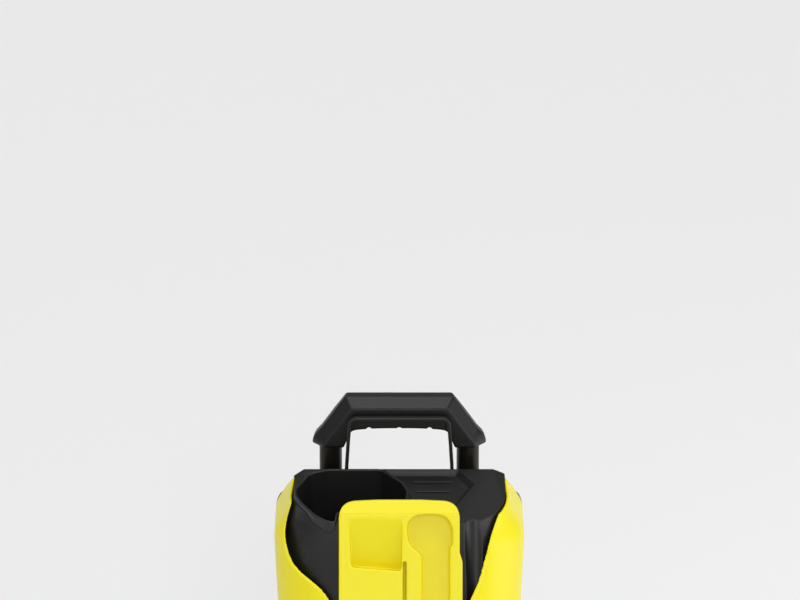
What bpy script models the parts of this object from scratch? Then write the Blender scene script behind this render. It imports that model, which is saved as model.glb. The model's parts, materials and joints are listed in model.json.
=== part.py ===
"""Upright electric pressure washer with a telescopic trolley handle.

The machine stands on two wheels and two rubber feet. Yellow side covers wrap a
black core with an open bottle well, a small parts tray and a yellow panel that
holds the lances. Inside are the motor, its wobble-plate pump and the hoses.

All lengths below are in millimetres, and MM turns them into Blender's metres.
X is the width (+X right when facing the front), the front is -Y, +Z is up, and
the origin is on the floor under the middle of the machine.
"""

import math

import bmesh
import bpy
from mathutils import Matrix, Vector

MM = 0.001

# ---------------------------------------------------------------- dimensions
GAP = 0.3                     # air between two pieces that rest on each other

# body skin: height -> half width (side covers), and the black core inside it
SKIN_WIDTH = [(10, 119), (60, 123), (130, 124), (200, 125.5), (260, 128), (320, 131),
              (375, 135), (420, 138), (446, 139.5), (460, 139.5), (472, 131.8), (480, 126.8),
              (488, 124.2), (495, 122.3), (502, 120), (524, 112)]
CORE_WIDTH = [(380, 124.5), (420, 128.5), (446, 129.5), (460, 128.8), (472, 126.2), (480, 122.8),
              (488, 120.6), (495, 119.0), (502, 118.5), (524, 115)]
FRONT_AT_500 = -58.0          # skin front, y at z = 500
FRONT_SLOPE = 0.32            # the front leans forward towards the floor
FRONT_LIMIT = -200.0          # the toe of the base
CORE_INSET = 5.0              # core front behind the skin front
REAR_Y = 130.0
CORNER_FRONT = 88.0           # plan radius of the front corners
CORNER_REAR = 26.0
WALL = 3.0

RIDGE_Y = 72.0                # ridge across the top, just before the rods
DECK_AT_RIDGE = 509.0
DECK_SLOPE = math.tan(math.radians(9.5))
REAR_DECK_Z = 478.0
BASE_TOP = 60.0
REAR_SEAM_Y = 100.0
APRON_BOTTOM = 386.0

ROD_X, ROD_Y = 77.3, 105.0
ROD_R = 12.75
ROD_BOTTOM, ROD_SHOULDER, ROD_TOP = 20.0, 538.0, 547.0
HANDLE_TRAVEL = 400.0
GUIDE_R, GUIDE_BORE = 15.6, 13.5

GRIP_TOP, GRIP_BOTTOM = 584.0, 528.0
GRIP_FRONT, GRIP_MID, GRIP_BACK = 87.0, 105.0, 123.0

WHEEL_R, WHEEL_W = 95.0, 24.0
WHEEL_X = 140.5               # middle of the tyre
AXLE_Y, AXLE_Z = 105.0, 95.0
AXLE_R = 6.0

PANEL_HALF_TOP, PANEL_HALF = 66.5, 69.6
PANEL_PROUD, PANEL_BACK = 3.0, -20.0
PANEL_TOP_W, PANEL_BOTTOM_W = 18.0, -224.0

MOTOR_Z = 115.0
KNOB_W = -289.0               # along the sloping front, from z = 500
OUTLET_Z = MOTOR_Z

# ------------------------------------------------------------------ scene
for old in list(bpy.data.objects):
    bpy.data.objects.remove(old, do_unlink=True)
for old in list(bpy.data.collections):
    bpy.data.collections.remove(old)

parts = bpy.data.collections.new("pressure_washer")
cutters = bpy.data.collections.new("cutters")
bpy.context.scene.collection.children.link(parts)
bpy.context.scene.collection.children.link(cutters)
cutters.hide_render = True


def material(name, colour, roughness, metallic=0.0):
    made = bpy.data.materials.new(name)
    made.use_nodes = True
    shader = made.node_tree.nodes["Principled BSDF"]
    shader.inputs["Base Color"].default_value = (*colour, 1.0)
    shader.inputs["Roughness"].default_value = roughness
    shader.inputs["Metallic"].default_value = metallic
    made.diffuse_color = (*colour, 1.0)
    return made


YELLOW = material("yellow_cover", (0.84, 0.74, 0.02), 0.35)
BLACK = material("black_plastic", (0.022, 0.022, 0.023), 0.5)
GRIP_BLACK = material("grip_plastic", (0.03, 0.03, 0.032), 0.55)
ROD_METAL = material("anodised_tube", (0.03, 0.03, 0.03), 0.35, 0.6)
TYRE = material("tyre_rubber", (0.02, 0.02, 0.02), 0.85)
RUBBER = material("soft_rubber", (0.025, 0.025, 0.025), 0.8)
STEEL = material("steel", (0.55, 0.56, 0.57), 0.3, 1.0)
BRASS = material("brass", (0.72, 0.5, 0.2), 0.3, 1.0)
ALUMINIUM = material("cast_aluminium", (0.62, 0.63, 0.64), 0.5, 1.0)
COPPER = material("winding_copper", (0.5, 0.22, 0.1), 0.4, 0.8)
GREY = material("grey_plastic", (0.25, 0.25, 0.26), 0.5)
CLEAR = material("filter_plastic", (0.6, 0.62, 0.62), 0.2)

# ------------------------------------------------------------------ tools


def add(name, bm, look=None, smooth=True):
    """The mesh as an object: a part when it has a look, a cutter when not."""
    bmesh.ops.recalc_face_normals(bm, faces=bm.faces[:])
    mesh = bpy.data.meshes.new(name)
    bm.to_mesh(mesh)
    bm.free()
    made = bpy.data.objects.new(name, mesh)
    if look is None:
        cutters.objects.link(made)
        made.hide_render = True
        made.display_type = "WIRE"
    else:
        parts.objects.link(made)
        mesh.materials.append(look)
        if smooth:
            mesh.shade_smooth()
            mesh.set_sharp_from_angle(angle=math.radians(35))
    return made


def box(name, low, high, look=None):
    bm = bmesh.new()
    bmesh.ops.create_cube(bm, size=1.0)
    size = [(b - a) * MM for a, b in zip(low, high)]
    middle = [(a + b) / 2 * MM for a, b in zip(low, high)]
    bmesh.ops.scale(bm, vec=size, verts=bm.verts[:])
    bmesh.ops.translate(bm, vec=middle, verts=bm.verts[:])
    return add(name, bm, look, smooth=False)


AXES = {"x": Matrix.Rotation(math.pi / 2, 4, "Y"),
        "y": Matrix.Rotation(-math.pi / 2, 4, "X"),
        "z": Matrix.Identity(4)}


def rod(name, radius, start, end, axis, across, look=None, segments=24, radius2=None):
    """A cylinder from start to end along the axis, through the point across."""
    bm = bmesh.new()
    bmesh.ops.create_cone(bm, cap_ends=True, segments=segments, radius1=radius * MM,
                          radius2=(radius if radius2 is None else radius2) * MM,
                          depth=(end - start) * MM)
    bmesh.ops.transform(bm, matrix=AXES[axis], verts=bm.verts[:])
    middle = {"x": ((start + end) / 2, across[0], across[1]),
              "y": (across[0], (start + end) / 2, across[1]),
              "z": (across[0], across[1], (start + end) / 2)}[axis]
    bmesh.ops.translate(bm, vec=[v * MM for v in middle], verts=bm.verts[:])
    return add(name, bm, look)


def prism(name, outline, axis, start, end, look=None):
    """A flat outline extruded along an axis. Outline: (x, z) for y, (y, z) for x, (x, y) for z."""
    place = {"x": lambda a, b: (start, a, b), "y": lambda a, b: (a, start, b),
             "z": lambda a, b: (a, b, start)}[axis]
    along = {"x": (1, 0, 0), "y": (0, 1, 0), "z": (0, 0, 1)}[axis]
    bm = bmesh.new()
    face = bm.faces.new([bm.verts.new([v * MM for v in place(a, b)]) for a, b in outline])
    grown = bmesh.ops.extrude_face_region(bm, geom=[face])["geom"]
    moved = [g for g in grown if isinstance(g, bmesh.types.BMVert)]
    bmesh.ops.translate(bm, vec=[v * (end - start) * MM for v in along], verts=moved)
    return add(name, bm, look)


def loft(name, rings, look=None):
    """A solid through rings of equal count, capped at both ends."""
    bm = bmesh.new()
    rows = [[bm.verts.new([v * MM for v in p]) for p in ring] for ring in rings]
    count = len(rows[0])
    for lower, upper in zip(rows, rows[1:]):
        for i in range(count):
            j = (i + 1) % count
            bm.faces.new((lower[i], lower[j], upper[j], upper[i]))
    bm.faces.new(rows[0][::-1])
    bm.faces.new(rows[-1])
    return add(name, bm, look)


def turned(name, profile, axis, at, look=None, steps=36, flip=False):
    """A Screw of a profile of (radius, height) that runs down its outer side.
    Height runs along the axis, or against it with flip. at: the axis's origin."""
    mesh = bpy.data.meshes.new(name)
    closed = profile[0] == profile[-1]
    points = profile[:-1] if closed else profile
    edges = [(i, i + 1) for i in range(len(points) - 1)]
    if closed:
        edges.append((len(points) - 1, 0))
    mesh.from_pydata([(r * MM, 0.0, h * MM) for r, h in points], edges, [])
    made = bpy.data.objects.new(name, mesh)
    if look is None:
        cutters.objects.link(made)
        made.hide_render = True
        made.display_type = "WIRE"
    else:
        parts.objects.link(made)
        mesh.materials.append(look)
    turn = made.modifiers.new("turn", "SCREW")
    turn.steps = turn.render_steps = steps
    turn.use_merge_vertices = True
    turn.merge_threshold = 1e-5
    turn.use_smooth_shade = True
    rotation = {"x": (0, math.pi / 2, 0), "y": (-math.pi / 2, 0, 0), "z": (0, 0, 0)}[axis]
    if flip:
        rotation = {"x": (0, -math.pi / 2, 0), "y": (math.pi / 2, 0, 0), "z": (math.pi, 0, 0)}[axis]
    made.rotation_euler = rotation
    made.location = [v * MM for v in at]
    return made


def tube(name, points, radius, look, sides=2):
    curve = bpy.data.curves.new(name, "CURVE")
    curve.dimensions = "3D"
    curve.bevel_depth = radius * MM
    curve.bevel_resolution = sides
    curve.use_fill_caps = True
    line = curve.splines.new("POLY")
    line.points.add(len(points) - 1)
    for knot, p in zip(line.points, points):
        knot.co = (*[v * MM for v in p], 1.0)
    made = bpy.data.objects.new(name, curve)
    curve.materials.append(look)
    parts.objects.link(made)
    return made


def boolean(target, other, operation="DIFFERENCE"):
    step = target.modifiers.new(other.name, "BOOLEAN")
    step.operation = operation
    step.solver = "EXACT"
    step.object = other
    return step


def bevel(target, width, segments=2, angle=35):
    step = target.modifiers.new("edges", "BEVEL")
    step.width = width * MM
    step.segments = segments
    step.limit_method = "ANGLE"
    step.angle_limit = math.radians(angle)
    return step


def at(table, z):
    """The table's value at height z, straight between its rows."""
    if z <= table[0][0]:
        return table[0][1]
    for (z0, v0), (z1, v1) in zip(table, table[1:]):
        if z <= z1:
            return v0 + (v1 - v0) * (z - z0) / (z1 - z0)
    return table[-1][1]


def front_y(z):
    return max(FRONT_AT_500 - (500.0 - z) * FRONT_SLOPE, FRONT_LIMIT)


def plan_ring(z, half, front, rear, rf, rr, steps=6):
    """A rounded rectangle at height z, front corners rf and rear corners rr."""
    ring = []
    for cx, cy, r, start in ((half - rf, front + rf, rf, -90), (half - rr, rear - rr, rr, 0),
                             (-half + rr, rear - rr, rr, 90), (-half + rf, front + rf, rf, 180)):
        count = steps if r > 40 else max(3, steps // 2)
        for i in range(count + 1):
            turn = math.radians(start + 90.0 * i / count)
            ring.append((cx + r * math.cos(turn), cy + r * math.sin(turn), z))
    return ring


def skin_ring(z, inset, at_z=None):
    key = z if at_z is None else at_z
    return plan_ring(z, at(SKIN_WIDTH, key) - inset, front_y(key) + inset, REAR_Y - inset,
                     CORNER_FRONT - inset, CORNER_REAR - inset)


def core_ring(z, inset, at_z=None):
    key = z if at_z is None else at_z
    return plan_ring(z, at(CORE_WIDTH, key) - inset, front_y(key) + CORE_INSET + inset,
                     REAR_Y - WALL - GAP - inset, CORNER_FRONT - inset, CORNER_REAR - inset)


SKIN_LEVELS = [60, 130, 200, 260, 320, 375, 380, 420, 446, 460, 472, 480, 488, 495, 502, 524]
CORE_LEVELS = [380, 420, 446, 460, 472, 480, 488, 495, 502, 524]


def rounded(points, radii, steps=4):
    """The polygon with its corners rounded."""
    made = []
    count = len(points)
    for i, (p, r) in enumerate(zip(points, radii)):
        p = Vector(p)
        if r <= 0:
            made.append(tuple(p))
            continue
        a = (Vector(points[i - 1]) - p).normalized()
        b = (Vector(points[(i + 1) % count]) - p).normalized()
        half = math.acos(max(-1, min(1, a.dot(b)))) / 2
        reach = min(r / math.tan(half), (Vector(points[i - 1]) - p).length * 0.49,
                    (Vector(points[(i + 1) % count]) - p).length * 0.49)
        start, end = p + a * reach, p + b * reach
        for k in range(steps + 1):
            t = k / steps
            made.append(tuple((1 - t) ** 2 * start + 2 * t * (1 - t) * p + t * t * end))
    return made


def grown(points, amount):
    """The counter-clockwise polygon moved outwards by amount (negative moves in)."""
    made = []
    count = len(points)
    for i in range(count):
        p0, p1, p2 = (Vector(points[k % count]) for k in (i - 1, i, i + 1))
        d1, d2 = (p1 - p0).normalized(), (p2 - p1).normalized()
        n1, n2 = Vector((d1.y, -d1.x)), Vector((d2.y, -d2.x))
        n = (n1 + n2)
        n = n / max(n.length_squared / 2.0, 0.3)
        made.append(tuple(p1 + n * amount))
    return made


def area(points):
    return sum(a[0] * b[1] - b[0] * a[1] for a, b in zip(points, points[1:] + points[:1])) / 2


def slope_frame(w=0.0, n=0.0, x=0.0):
    """The point on the sloping front: w up along it from z = 500, n out of it."""
    length = math.hypot(FRONT_SLOPE, 1.0)
    up = (0.0, FRONT_SLOPE / length, 1.0 / length)
    out = (0.0, -1.0 / length, FRONT_SLOPE / length)
    return (x, FRONT_AT_500 + up[1] * w + out[1] * n, 500.0 + up[2] * w + out[2] * n)


SLOPE_TILT = -math.atan(FRONT_SLOPE)   # turns +Z onto the front's own up direction
SLOPE_PLACE = Matrix.Translation([v * MM for v in slope_frame()]) @ Matrix.Rotation(SLOPE_TILT, 4, "X")


def on_slope(made):
    """Stands a piece that was drawn with the front as its XZ plane onto the slope."""
    made.matrix_world = SLOPE_PLACE
    return made


def plane_cutter(name, point, normal, size=400.0):
    """A block whose lower face is the plane, on the side the normal points to."""
    bm = bmesh.new()
    bmesh.ops.create_cube(bm, size=size * MM)
    bmesh.ops.translate(bm, vec=(0, 0, size * MM / 2), verts=bm.verts[:])
    made = add(name, bm)
    turn = Vector((0, 0, 1)).rotation_difference(Vector(normal).normalized()).to_matrix().to_4x4()
    made.matrix_world = Matrix.Translation([v * MM for v in point]) @ turn
    return made


DECK_NORMAL = (0.0, -DECK_SLOPE, 1.0)

# ------------------------------------------------------------ shared cutters
skin_inner = loft("skin_inner", [skin_ring(40, WALL, 60)] +
                  [skin_ring(z, WALL) for z in SKIN_LEVELS[:6]] +
                  [core_ring(z, -GAP) for z in CORE_LEVELS] + [core_ring(560, -GAP, 524)])
skin_shell = loft("skin_shell", [skin_ring(40, WALL, 60)] +
                  [skin_ring(z, WALL) for z in SKIN_LEVELS] + [skin_ring(560, WALL, 524)])
wing_top = plane_cutter("wing_top", (0, RIDGE_Y, DECK_AT_RIDGE - 5.5), DECK_NORMAL)
wing_rear = plane_cutter("wing_rear", (0, 62, 500), (0, 0.526, 1))
wheel_arch_left = rod("wheel_arch_left", 104, -170, -118.6, "x", (AXLE_Y, AXLE_Z), segments=40)
wheel_arch_right = rod("wheel_arch_right", 104, 118.6, 170, "x", (AXLE_Y, AXLE_Z), segments=40)

# --------------------------------------------------------------- side covers
def edge_line(corners, steps):
    """An inner edge from its corners: x, z and the radius that softens each one."""
    return rounded([(x, z) for x, z, r in corners], [r for x, z, r in corners], steps)


# inner edges seen from the front, from the top down to the base
LEFT_EDGE = edge_line([(-118.5, 540, 0), (-118.5, 498, 30), (-129.5, 464, 34), (-119.5, 437.5, 14),
                       (-84, 420.5, 30), (-67, 392, 90), (-67, 40, 0)], 3)
RIGHT_EDGE = edge_line([(117.5, 540, 0), (117.5, 500, 30), (102, 474, 60), (88, 428, 30),
                        (70.3, 396, 70), (70.3, 40, 0)], 3)


def side_cover(name, edge, sign, arch):
    """A wrap-round cover: the skin beyond its inner edge, hollowed to its wall."""
    made = loft(name, [skin_ring(z, 0.0, max(z, 60)) for z in [BASE_TOP + GAP] + SKIN_LEVELS[1:]], YELLOW)
    outline = edge + [(sign * 180, 40), (sign * 180, 540)]
    region = prism(name + "_region", outline, "y", -260, REAR_SEAM_Y - GAP)
    boolean(made, region, "INTERSECT")
    boolean(made, skin_inner)
    boolean(made, wing_top)
    boolean(made, wing_rear)
    boolean(made, arch)
    return made


side_cover_left = side_cover("side_cover_left", LEFT_EDGE, -1, wheel_arch_left)
side_cover_right = side_cover("side_cover_right", RIGHT_EDGE, 1, wheel_arch_right)

# ------------------------------------------------------------------ the panel


def panel_outline(grow=0.0):
    top, low = PANEL_HALF_TOP + grow, PANEL_HALF + grow
    head, foot = PANEL_TOP_W + grow, PANEL_BOTTOM_W - grow
    points = [(-top, foot), (low, foot), (low, -50), (top, -40), (top, head - 2.2), (24, head - 0.3), (-24, head - 0.3),
              (-top, head - 2.2)]
    return rounded(points, [4, 4, 4, 4, 20, 0, 0, 20], 5)


panel = prism("accessory_panel", panel_outline(), "y", -PANEL_PROUD, -PANEL_BACK, YELLOW)
on_slope(panel)
bevel(panel, 1.6, 2, 50)
boolean(panel, plane_cutter("panel_brow", slope_frame(3.0, PANEL_PROUD), (0.0, -1.0, 1.15)))
# a pocket with an upright floor for the nozzle heads
pocket = on_slope(prism("head_pocket", rounded([(-56, 6), (-53, -56.3), (2.6, -60.6), (2.6, 6)], [3, 5, 5, 3], 4), "y", -30, 40))
boolean(pocket, box("pocket_floor", (-90, -61.8, 380), (60, 60, 560)))
boolean(panel, pocket)
# a keyhole trough for the lance: a wide head and a long stem
TROUGH = [(24.6, -212), (55.7, -212), (55.7, -34.5), (58.7, -31.0), (58.5, -14.7), (55.7, -5.7), (50.8, -0.7), (44, 2.1),
          (34, 2.7), (27, 2.6), (20.3, 1.5), (13.8, -1.8), (10, -6.8), (8.8, -12.0), (8.8, -20.5), (10.5, -28.1),
          (13.5, -33.7), (20.1, -38.4), (24.6, -43.5)]
trough = on_slope(prism("lance_trough", TROUGH, "y", -20, 13))
boolean(panel, trough)
slot = on_slope(box("panel_slot", (3.9, -20, -210), (7.9, 8, -50)))
boolean(panel, slot)

# ------------------------------------------------------------- the top cover
WELL = rounded([(-21, 67), (-80, 67), (-99, 59), (-114.5, 24), (-113.5, 10), (-106, -8), (-93, -31), (-81, -43.5),
                (-72, -48.5), (-70.2, -24), (4, -24), (8, 20), (1, 40), (-12, 56)],
               [8, 16, 14, 16, 10, 14, 14, 10, 4, 9, 9, 12, 12, 0], 3)
WELL = WELL[::-1] if area(WELL) < 0 else WELL
WELL_FLOOR = 352.0
RIM = 3.0

top_cover = loft("top_cover", [core_ring(z, 0.0) for z in [APRON_BOTTOM] + CORE_LEVELS[1:]], BLACK)
deck_plane = plane_cutter("deck_plane", (0, RIDGE_Y, DECK_AT_RIDGE), DECK_NORMAL)
boolean(top_cover, deck_plane)
boolean(top_cover, box("rear_step", (-200, RIDGE_Y, REAR_DECK_Z), (200, 200, 560)))
hollow = loft("core_hollow", [core_ring(z, WALL) for z in [376] + CORE_LEVELS[1:]])
boolean(hollow, plane_cutter("hollow_top", (0, RIDGE_Y, DECK_AT_RIDGE - 13), DECK_NORMAL))
boolean(hollow, box("hollow_rear", (-200, RIDGE_Y - 12, REAR_DECK_Z - 5), (200, 200, 560)))
boolean(hollow, on_slope(rod("groove_wall", 12, -150, 45, "z", (85.5, 9), segments=16, radius2=19.5)))
boolean(top_cover, hollow)
facet = plane_cutter("right_facet", (103, 75, 510.5), (0.377, -0.160, 0.912))
boolean(top_cover, facet)
boolean(top_cover, plane_cutter("diagonal_facet", (104, 68, 508.3), (0.148, -0.2134, 0.9657)))
boolean(top_cover, plane_cutter("left_facet", (-107, RIDGE_Y, DECK_AT_RIDGE), (-0.557, -0.137, 0.819)))
panel_space = on_slope(prism("panel_space", panel_outline(GAP + 0.2), "y", -30, -PANEL_BACK + GAP))
boolean(top_cover, panel_space)
well_hole = prism("well_hole", grown(WELL, RIM + GAP), "z", 370, 560)
boolean(top_cover, well_hole)
TRAY_FLOOR = [(11.5, -20), (55, -20), (67.3, 11.2), (78, 37.5), (63, 66.0), (-13.5, 66.0), (-8.5, 59), (4.5, 42.2), (11.5, 20)]
TRAY_TOP = [(11.5, -20), (59, -20), (72.5, 11.2), (84, 37.5), (67, 69.8), (-16.5, 69.8), (-8.5, 59), (4.5, 42.2), (11.5, 20)]
TRAY_DEPTH = 6.0
on_deck = Matrix.Translation((0, RIDGE_Y * MM, DECK_AT_RIDGE * MM)) @ Matrix.Rotation(math.atan(DECK_SLOPE), 4, "X") @ \
    Matrix.Translation((0, -RIDGE_Y * MM, 0))
tray = loft("tray_recess", [[(x, y, -TRAY_DEPTH) for x, y in TRAY_FLOOR], [(x, y, 0.0) for x, y in TRAY_TOP],
                            [(x, y, 40.0) for x, y in TRAY_TOP]])
tray.matrix_world = on_deck
boolean(top_cover, tray)
for i, (x0, x1, y) in enumerate(((14.5, 61, 51), (18.4, 57, 29.5))):
    rib = box(f"tray_rib_{i}", (x0, y - 1.2, -TRAY_DEPTH - 1), (x1, y + 1.2, -TRAY_DEPTH + 1.2))
    rib.matrix_world = on_deck
    boolean(top_cover, rib, "UNION")
groove = on_slope(rod("slope_groove", 9, -125, 30, "z", (85.5, 9), segments=16, radius2=16))
boolean(top_cover, groove)
for side in (-1, 1):
    boolean(top_cover, rod(f"rod_hole_{'lr'[side > 0]}", GUIDE_R + 0.6, REAR_DECK_Z - 18, 560, "z",
                           (side * ROD_X, ROD_Y)))

# ------------------------------------------------------------ the bottle well
well = prism("bottle_well", grown(WELL, RIM), "z", WELL_FLOOR - 3, 530, BLACK)
boolean(well, plane_cutter("well_top", (0, RIDGE_Y, DECK_AT_RIDGE + 1.2), DECK_NORMAL))
boolean(well, prism("well_space", WELL, "z", WELL_FLOOR, 560))
boolean(well, rod("well_drain", 5.2, WELL_FLOOR - 20, WELL_FLOOR + 20, "z", (-50, 20), segments=16))

# ------------------------------------------------------- rear and front cover
rear_cover = loft("rear_cover", [skin_ring(z, 0.0, max(z, 60)) for z in [BASE_TOP + GAP] + SKIN_LEVELS[1:]], BLACK)
boolean(rear_cover, box("rear_region", (-200, REAR_SEAM_Y + GAP, 0), (200, 260, REAR_DECK_Z - 12)), "INTERSECT")
boolean(rear_cover, skin_shell)
boolean(rear_cover, wheel_arch_left)
boolean(rear_cover, wheel_arch_right)
INLET = (42.0, 150.0)
GLAND = (-45.0, 112.0)
boolean(rear_cover, rod("inlet_hole", 12.4, 100, 160, "y", INLET))
boolean(rear_cover, rod("gland_hole", 8.4, 100, 160, "y", GLAND))

front_cover = loft("front_cover", [skin_ring(z, 0.0, max(z, 60)) for z in [BASE_TOP + GAP] + SKIN_LEVELS[1:6]], BLACK)
boolean(front_cover, box("front_region", (-66.7, -260, 0), (70.0, -60, 283)), "INTERSECT")
boolean(front_cover, skin_shell)
boolean(front_cover, on_slope(rod("knob_hole", 7.0, -40, 40, "y", (0, KNOB_W), segments=20)))
boolean(front_cover, rod("outlet_hole", 13.6, -240, -120, "y", (0, OUTLET_Z), segments=24))

# ------------------------------------------------------------- the chassis
chassis = loft("chassis_base", [skin_ring(12, 6.0, 10), skin_ring(22, 0.0, 10), skin_ring(BASE_TOP, 0.0)], BLACK)
boolean(chassis, loft("chassis_space", [skin_ring(17, 8.0, 10), skin_ring(24, 4.0, 10), skin_ring(80, 4.0, 60)]))
for side, tag in ((-1, "left"), (1, "right")):
    lo, hi = sorted((side * 99.0, side * 114.0))
    wall = box(f"axle_wall_{tag}", (lo, 62, 14), (hi, 116, 132))
    boolean(chassis, wall, "UNION")
    boolean(chassis, rod(f"axle_bore_{tag}", AXLE_R + GAP, *sorted((side * 100.5, side * 140)), "x",
                         (AXLE_Y, AXLE_Z), segments=20))

# ---------------------------------------------------------------- the handle
OUTER = [(61, 584), (89, 545), (96.5, 537), (98, 531), (98, 528)]
OUTER_FRONT = [(54, 575), (80, 539), (84.6, 532.5), (85.4, 530), (85.6, 528)]
INNER = [(62.5, 528), (57.6, 540), (56.0, 544.5), (52, 548.2), (44, 549.6), (22, 550.9)]


def mirrored(half):
    return half + [(-x, z) for x, z in reversed(half)]


def grip_ring(y, outer, drop=0.0, lean=0.0):
    right = [(x - drop, z - (drop if i < 1 else 0)) for i, (x, z) in enumerate(outer)]
    right += [(x + lean, z) for x, z in INNER]
    return [(x, y, z) for x, z in right] + [(-x, y, z) for x, z in reversed(right)]


grip = loft("grip_shell", [grip_ring(GRIP_FRONT, OUTER_FRONT), grip_ring(GRIP_MID, OUTER),
                           grip_ring(GRIP_BACK, OUTER, 1.5)], GRIP_BLACK)
bevel(grip, 1.6, 2, 25)
boolean(grip, box("insert_seat", (-43.3, 91.7, 540), (43.3, 118.3, 557)))
for side, tag in ((-1, "left"), (1, "right")):
    boolean(grip, rod(f"grip_socket_{tag}", ROD_R + GAP, 500, ROD_SHOULDER + GAP, "z", (side * ROD_X, ROD_Y)))
    boolean(grip, rod(f"grip_spigot_{tag}", 8 + GAP, 530, ROD_TOP + GAP, "z", (side * ROD_X, ROD_Y), segments=16))

insert = box("grip_insert", (-43, 92, 551.2), (43, 118, 556.7), GRIP_BLACK)
for i, x in enumerate((-34, 0, 34)):
    notch = rod(f"finger_notch_{i}", 3.0, 80, 130, "y", (x, 549.6), segments=12)
    boolean(insert, notch)
    boolean(grip, notch)

for side, tag in ((-1, "left"), (1, "right")):
    turned(f"rod_{tag}", [(0, ROD_TOP), (8, ROD_TOP), (8, ROD_SHOULDER), (ROD_R, ROD_SHOULDER), (ROD_R, ROD_BOTTOM + 16),
                          (9, ROD_BOTTOM + 16), (9, ROD_BOTTOM + 6), (7, ROD_BOTTOM + 6), (7, ROD_BOTTOM + 18),
                          (11, ROD_BOTTOM + 20), (11, 528), (0, 530)], "z",
           (side * ROD_X, ROD_Y, 0), ROD_METAL, steps=24)
    turned(f"rod_plug_{tag}", [(13.1, ROD_BOTTOM + 15.7), (13.1, ROD_BOTTOM + 1.5), (11.6, ROD_BOTTOM), (9.3, ROD_BOTTOM),
                               (9.3, ROD_BOTTOM + 15.7), (13.1, ROD_BOTTOM + 15.7)], "z", (side * ROD_X, ROD_Y, 0), GREY, steps=24)
    turned(f"guide_tube_{tag}", [(GUIDE_R, REAR_DECK_Z - 6.3), (GUIDE_R, 17.4), (GUIDE_BORE, 17.4),
                                 (GUIDE_BORE, REAR_DECK_Z - 6.3), (GUIDE_R, REAR_DECK_Z - 6.3)], "z",
           (side * ROD_X, ROD_Y, 0), GREY, steps=24)
    turned(f"guide_collar_{tag}", [(16.4, REAR_DECK_Z + 8), (18.2, REAR_DECK_Z + 6.4), (18.2, REAR_DECK_Z + GAP), (15.8, REAR_DECK_Z + GAP),
                                   (15.8, REAR_DECK_Z - 6), (13.2, REAR_DECK_Z - 6), (13.2, REAR_DECK_Z + 8), (16.4, REAR_DECK_Z + 8)],
           "z", (side * ROD_X, ROD_Y, 0), BLACK, steps=24)

# carrying bow in front of the grip
bow_half = [(61.0, 512), (59.6, 535), (58.0, 556)]
corner = [(48 + 10 * math.cos(math.radians(a)), 558 + 10 * math.sin(math.radians(a))) for a in (0, 22.5, 45, 67.5, 90)]
bow_outer = [(66.5, REAR_DECK_Z + GAP), (66.5, REAR_DECK_Z + 5), (62.2, REAR_DECK_Z + 8)] + bow_half + corner
bow_inner = [(x - 4.0, z) for x, z in [(62.0, REAR_DECK_Z + 8)] + bow_half] + \
    [(48 + 6.0 * math.cos(math.radians(a)), 558 + 6.0 * math.sin(math.radians(a))) for a in (0, 22.5, 45, 67.5, 90)]
right = bow_outer + [(x, z) for x, z in reversed(bow_inner)] + [(53.5, REAR_DECK_Z + 5), (53.5, REAR_DECK_Z + GAP)]
loop = bow_outer + [(-x, z) for x, z in reversed(bow_outer)]
inside = [(-53.5, REAR_DECK_Z + GAP), (-53.5, REAR_DECK_Z + 5), ] + [(-x, z) for x, z in bow_inner] + \
    [(x, z) for x, z in reversed(bow_inner)] + [(53.5, REAR_DECK_Z + 5), (53.5, REAR_DECK_Z + GAP)]
bow = prism("carry_bow", loop + inside, "y", 74.2, 83.2, BLACK)
bevel(bow, 0.9, 1, 40)

# ---------------------------------------------------------------- the wheels
for side, tag in ((-1, "left"), (1, "right")):
    flip = side < 0
    place = (side * WHEEL_X, AXLE_Y, AXLE_Z)
    half = WHEEL_W / 2
    turned(f"tyre_{tag}", [(88, half), (92.5, half - 1.5), (94.6, half - 5), (95, 0), (94.6, -half + 5), (92.5, -half + 1.5),
                           (88, -half), (79, -half + 1), (77, -half + 5), (77, half - 5), (79, half - 1), (88, half)],
           "x", place, TYRE, steps=32, flip=flip)
    turned(f"hub_{tag}", [(76.7, half - 5.5), (76.7, -half + 5.5), (70, -half + 5.5), (68, -2), (20, -5), (17, -half + 1),
                          (AXLE_R + 0.4, -half + 1), (AXLE_R + 0.4, half - 7), (17, half - 7), (22, 0), (66, 4),
                          (71, half - 3), (75, half - 3.5), (76.7, half - 5.5)],
           "x", place, BLACK, steps=32, flip=flip)
    turned(f"hub_cap_{tag}", [(0, half - 1.2), (9, half - 1.6), (14, half - 3), (16.6, half - 5), (16.6, half - 6.6),
                              (0, half - 6.6)],
           "x", place, GREY, steps=24, flip=flip)
    turned(f"axle_{tag}", [(0, half - 7.3), (AXLE_R, half - 7.3), (AXLE_R, -half - 27.0), (0, -half - 27.0)],
           "x", place, STEEL, steps=20, flip=flip)
    turned(f"foot_{tag}", [(0, 12 - GAP), (15, 12 - GAP), (16, 10), (14, 0), (0, 0)], "z",
           (side * 72, -158, 0), RUBBER, steps=24)

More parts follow.
